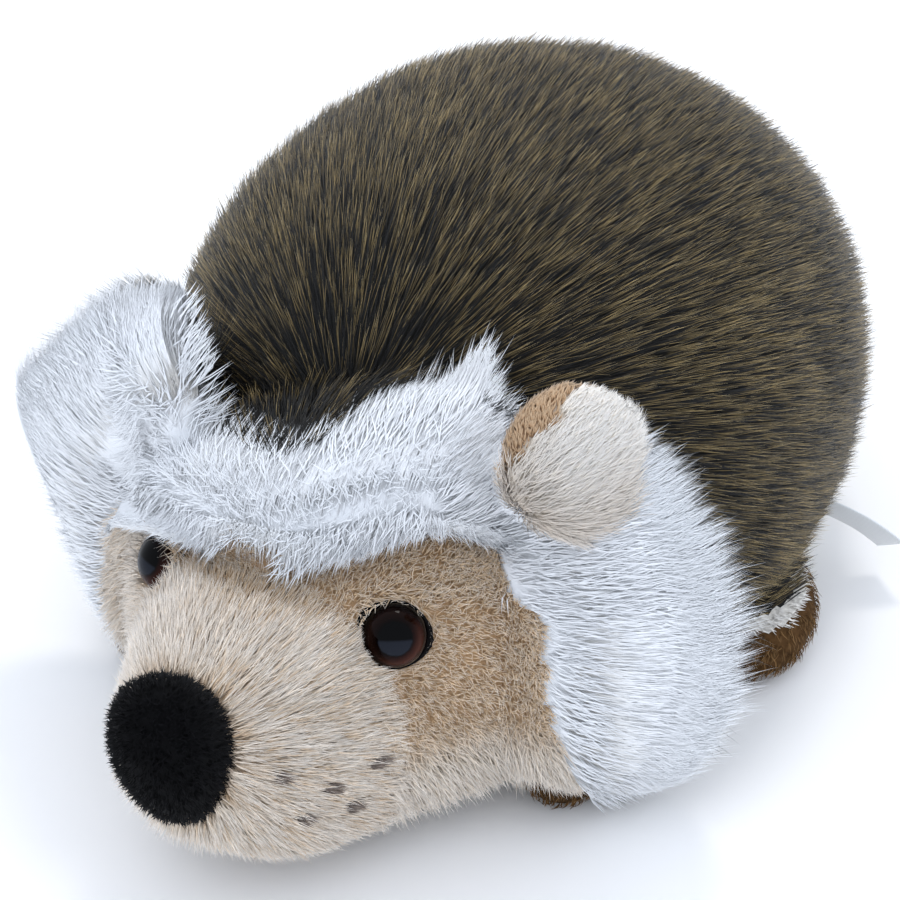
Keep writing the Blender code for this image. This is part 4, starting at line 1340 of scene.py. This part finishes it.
def label_material():
    """Plain woven satin ribbon."""
    material, tree, place = new_material("label_ribbon")
    wave = node(tree, "ShaderNodeTexWave", Vector=place, Scale=1100.0, Distortion=1.0, Detail=2.0,
                wave_type="BANDS", bands_direction="X").outputs["Fac"]
    colour = ramp(tree, ((0.0, (0.70, 0.72, 0.73)), (1.0, (0.86, 0.88, 0.89))), wave)
    shader = set_shader(tree, colour, rough=0.38, sheen=0.3)
    bumped(tree, shader, wave, strength=0.3, distance=0.0001)
    return material


def make_label():
    """A short bare ribbon that curves down from the seam at the rump."""
    heading = Vector((math.cos(LABEL_HEADING), math.sin(LABEL_HEADING), 0.0))
    side = Vector((heading.y, -heading.x, 0.0))
    point = LABEL_ROOT + ORIGIN
    steps, columns, half_thick = 24, 10, 0.00014
    ribbon = bmesh.new()
    rows = []                                       # along the ribbon, each a loop round its section
    for k in range(steps + 1):
        share = k / steps
        slope = LABEL_SLOPE[0] + (LABEL_SLOPE[1] - LABEL_SLOPE[0]) * share
        along = heading * math.cos(slope) - Vector((0.0, 0.0, math.sin(slope)))
        across = side * math.cos(LABEL_ROLL) + side.cross(along) * math.sin(LABEL_ROLL)
        normal = along.cross(across).normalized()
        places = [j / columns - 0.5 for j in range(columns + 1)]
        row = []
        for face, order in ((1.0, places), (-1.0, places[::-1])):
            for u in order:
                curl = 0.0004 * math.cos(math.pi * u) * math.sin(3.0 * share)
                row.append(ribbon.verts.new(point + across * (LABEL_FLAT[0] * u)
                                            + normal * (half_thick * face + curl)))
        rows.append(row)
        point = point + along * (LABEL_FLAT[1] / steps)
    for near, far in zip(rows, rows[1:]):
        for j in range(len(near)):
            m = (j + 1) % len(near)
            ribbon.faces.new((near[j], near[m], far[m], far[j]))
    for row in (rows[0], rows[-1]):
        for j in range(columns):
            ribbon.faces.new((row[j], row[j + 1], row[-2 - j], row[-1 - j]))
    bmesh.ops.recalc_face_normals(ribbon, faces=ribbon.faces)
    label = object_of("ribbon_label", ribbon)
    shade_smooth(label.data)
    dressed(label, label_material(), "label_ribbon", "label")


# ================================================================ studio
def studio():
    scene = bpy.context.scene
    right = Vector((math.cos(CAMERA_TURN), math.sin(CAMERA_TURN), 0.0))
    back = Vector((math.sin(CAMERA_TURN) * math.cos(CAMERA_TILT),
                   -math.cos(CAMERA_TURN) * math.cos(CAMERA_TILT), math.sin(CAMERA_TILT)))
    up = back.cross(right)
    data = bpy.data.cameras.new("camera")
    data.lens, data.sensor_width = CAMERA_LENS, 36.0
    data.clip_start, data.clip_end = 0.01, 20.0
    camera = link(bpy.data.objects.new("camera", data))
    spot = ORIGIN + back * CAMERA_DISTANCE + right * CAMERA_RIGHT + up * CAMERA_UP
    camera.matrix_world = Matrix.Translation(spot) @ Matrix((right, up, back)).transposed().to_4x4()
    scene.camera = camera

    floor = mesh_object("floor", [(-3, -3, 0), (3, -3, 0), (3, 3, 0), (-3, 3, 0)], [(0, 1, 2, 3)])
    material, tree, _ = new_material("floor_paint")
    noise = node(tree, "ShaderNodeTexNoise", Scale=40.0, Detail=3.0).outputs["Fac"]
    set_shader(tree, ramp(tree, ((0.3, (0.95, 0.94, 0.93)), (0.7, (0.97, 0.96, 0.95))), noise), rough=0.9)
    floor.data.materials.append(material)
    floor.location.z = -0.0001

    world = bpy.data.worlds.new("studio")
    scene.world = world
    world.use_nodes = True
    background = world.node_tree.nodes["Background"]
    background.inputs["Color"].default_value = (0.84, 0.90, 1.0, 1.0)
    background.inputs["Strength"].default_value = 1.36
    data = bpy.data.lights.new("key", "AREA")
    data.size, data.energy, data.color = 0.20, 2.4, (1.0, 0.97, 0.93)
    lamp = link(bpy.data.objects.new("key", data))
    lamp.location = KEY_LIGHT
    lamp.rotation_euler = (Vector((0.0, 0.0, 0.04)) - KEY_LIGHT).to_track_quat("-Z", "Y").to_euler()
    scene.view_settings.view_transform = "Standard"
    scene.view_settings.look = "None"


# ================================================================ assembly
def dress_skin(skin, regions):
    """Give the skin the materials and the markings of its coats."""
    for material in (BACK, BELLY, FACE, EAR, FOOT, RUFF):
        skin.data.materials.append(material)
    index = np.array([MATERIAL_INDEX[region] for region in regions], np.int32)
    skin.data.polygons.foreach_set("material_index", index)
    shade_smooth(skin.data)
    local = vertex_array(skin.data) - O
    lined, white = np.zeros(len(local)), np.zeros(len(local))
    for polygon, region in zip(skin.data.polygons, regions):
        for i in polygon.vertices:
            lined[i] = max(lined[i], region == "ear_inner")
            white[i] = max(white[i], region == "ruff")
    mark = np.maximum(cream_share(local) * (local[:, 1] < 0.05), lined) * (1.0 - white)
    point_attributes(skin.data, along=0.3, mark=mark, shade=0.4 + 0.2 * lattice_noise(local, 0.003, 19))
    dressed(skin, None, "back_plush", *solids_but("eye", "label", "nose"))


def number(coat):
    """How many tufts a coat has."""
    return int(COUNTS[coat] * SHARE)


skin = make_skin()
regions = skin_regions(skin)
unwrap_skin(skin, regions)
surface = Surface(skin, regions)
dress_skin(skin, regions)

back_areas = [surface.area[surface.region == region].sum() for region in BACK_REGIONS]
for k, (region, area) in enumerate(zip(BACK_REGIONS, back_areas)):
    back_coat(surface, region, int(COUNTS["back"] * SHARE * area / sum(back_areas)), SEED + k)
face_coat(surface, number("face"), SEED + 10)
muzzle_coat(surface, number("muzzle"), SEED + 11)
belly_coat(surface, number("belly"), SEED + 12)
ear_coat(surface, "ear_inner", number("ear_inner"), SEED + 13)
ear_coat(surface, "ear_outer", number("ear_outer"), SEED + 14)
foot_coat(surface, number("foot"), SEED + 15)
whisker_marks(surface, SEED + 16)
for k, side in enumerate(SIDES):
    fan_coat(side, number("fan"), SEED + 20 + k)
band_coat(number("band"), SEED + 22, node_tree("back_coat"), node_tree("head"))
ruff_under_coat(surface, number("ruff"), SEED + 23)
nose_coat(nose_piece(), number("nose"), SEED + 30)
for side, middle in zip(SIDES, EYE_MIDDLES):
    make_eye(side, middle)
make_label()
studio()
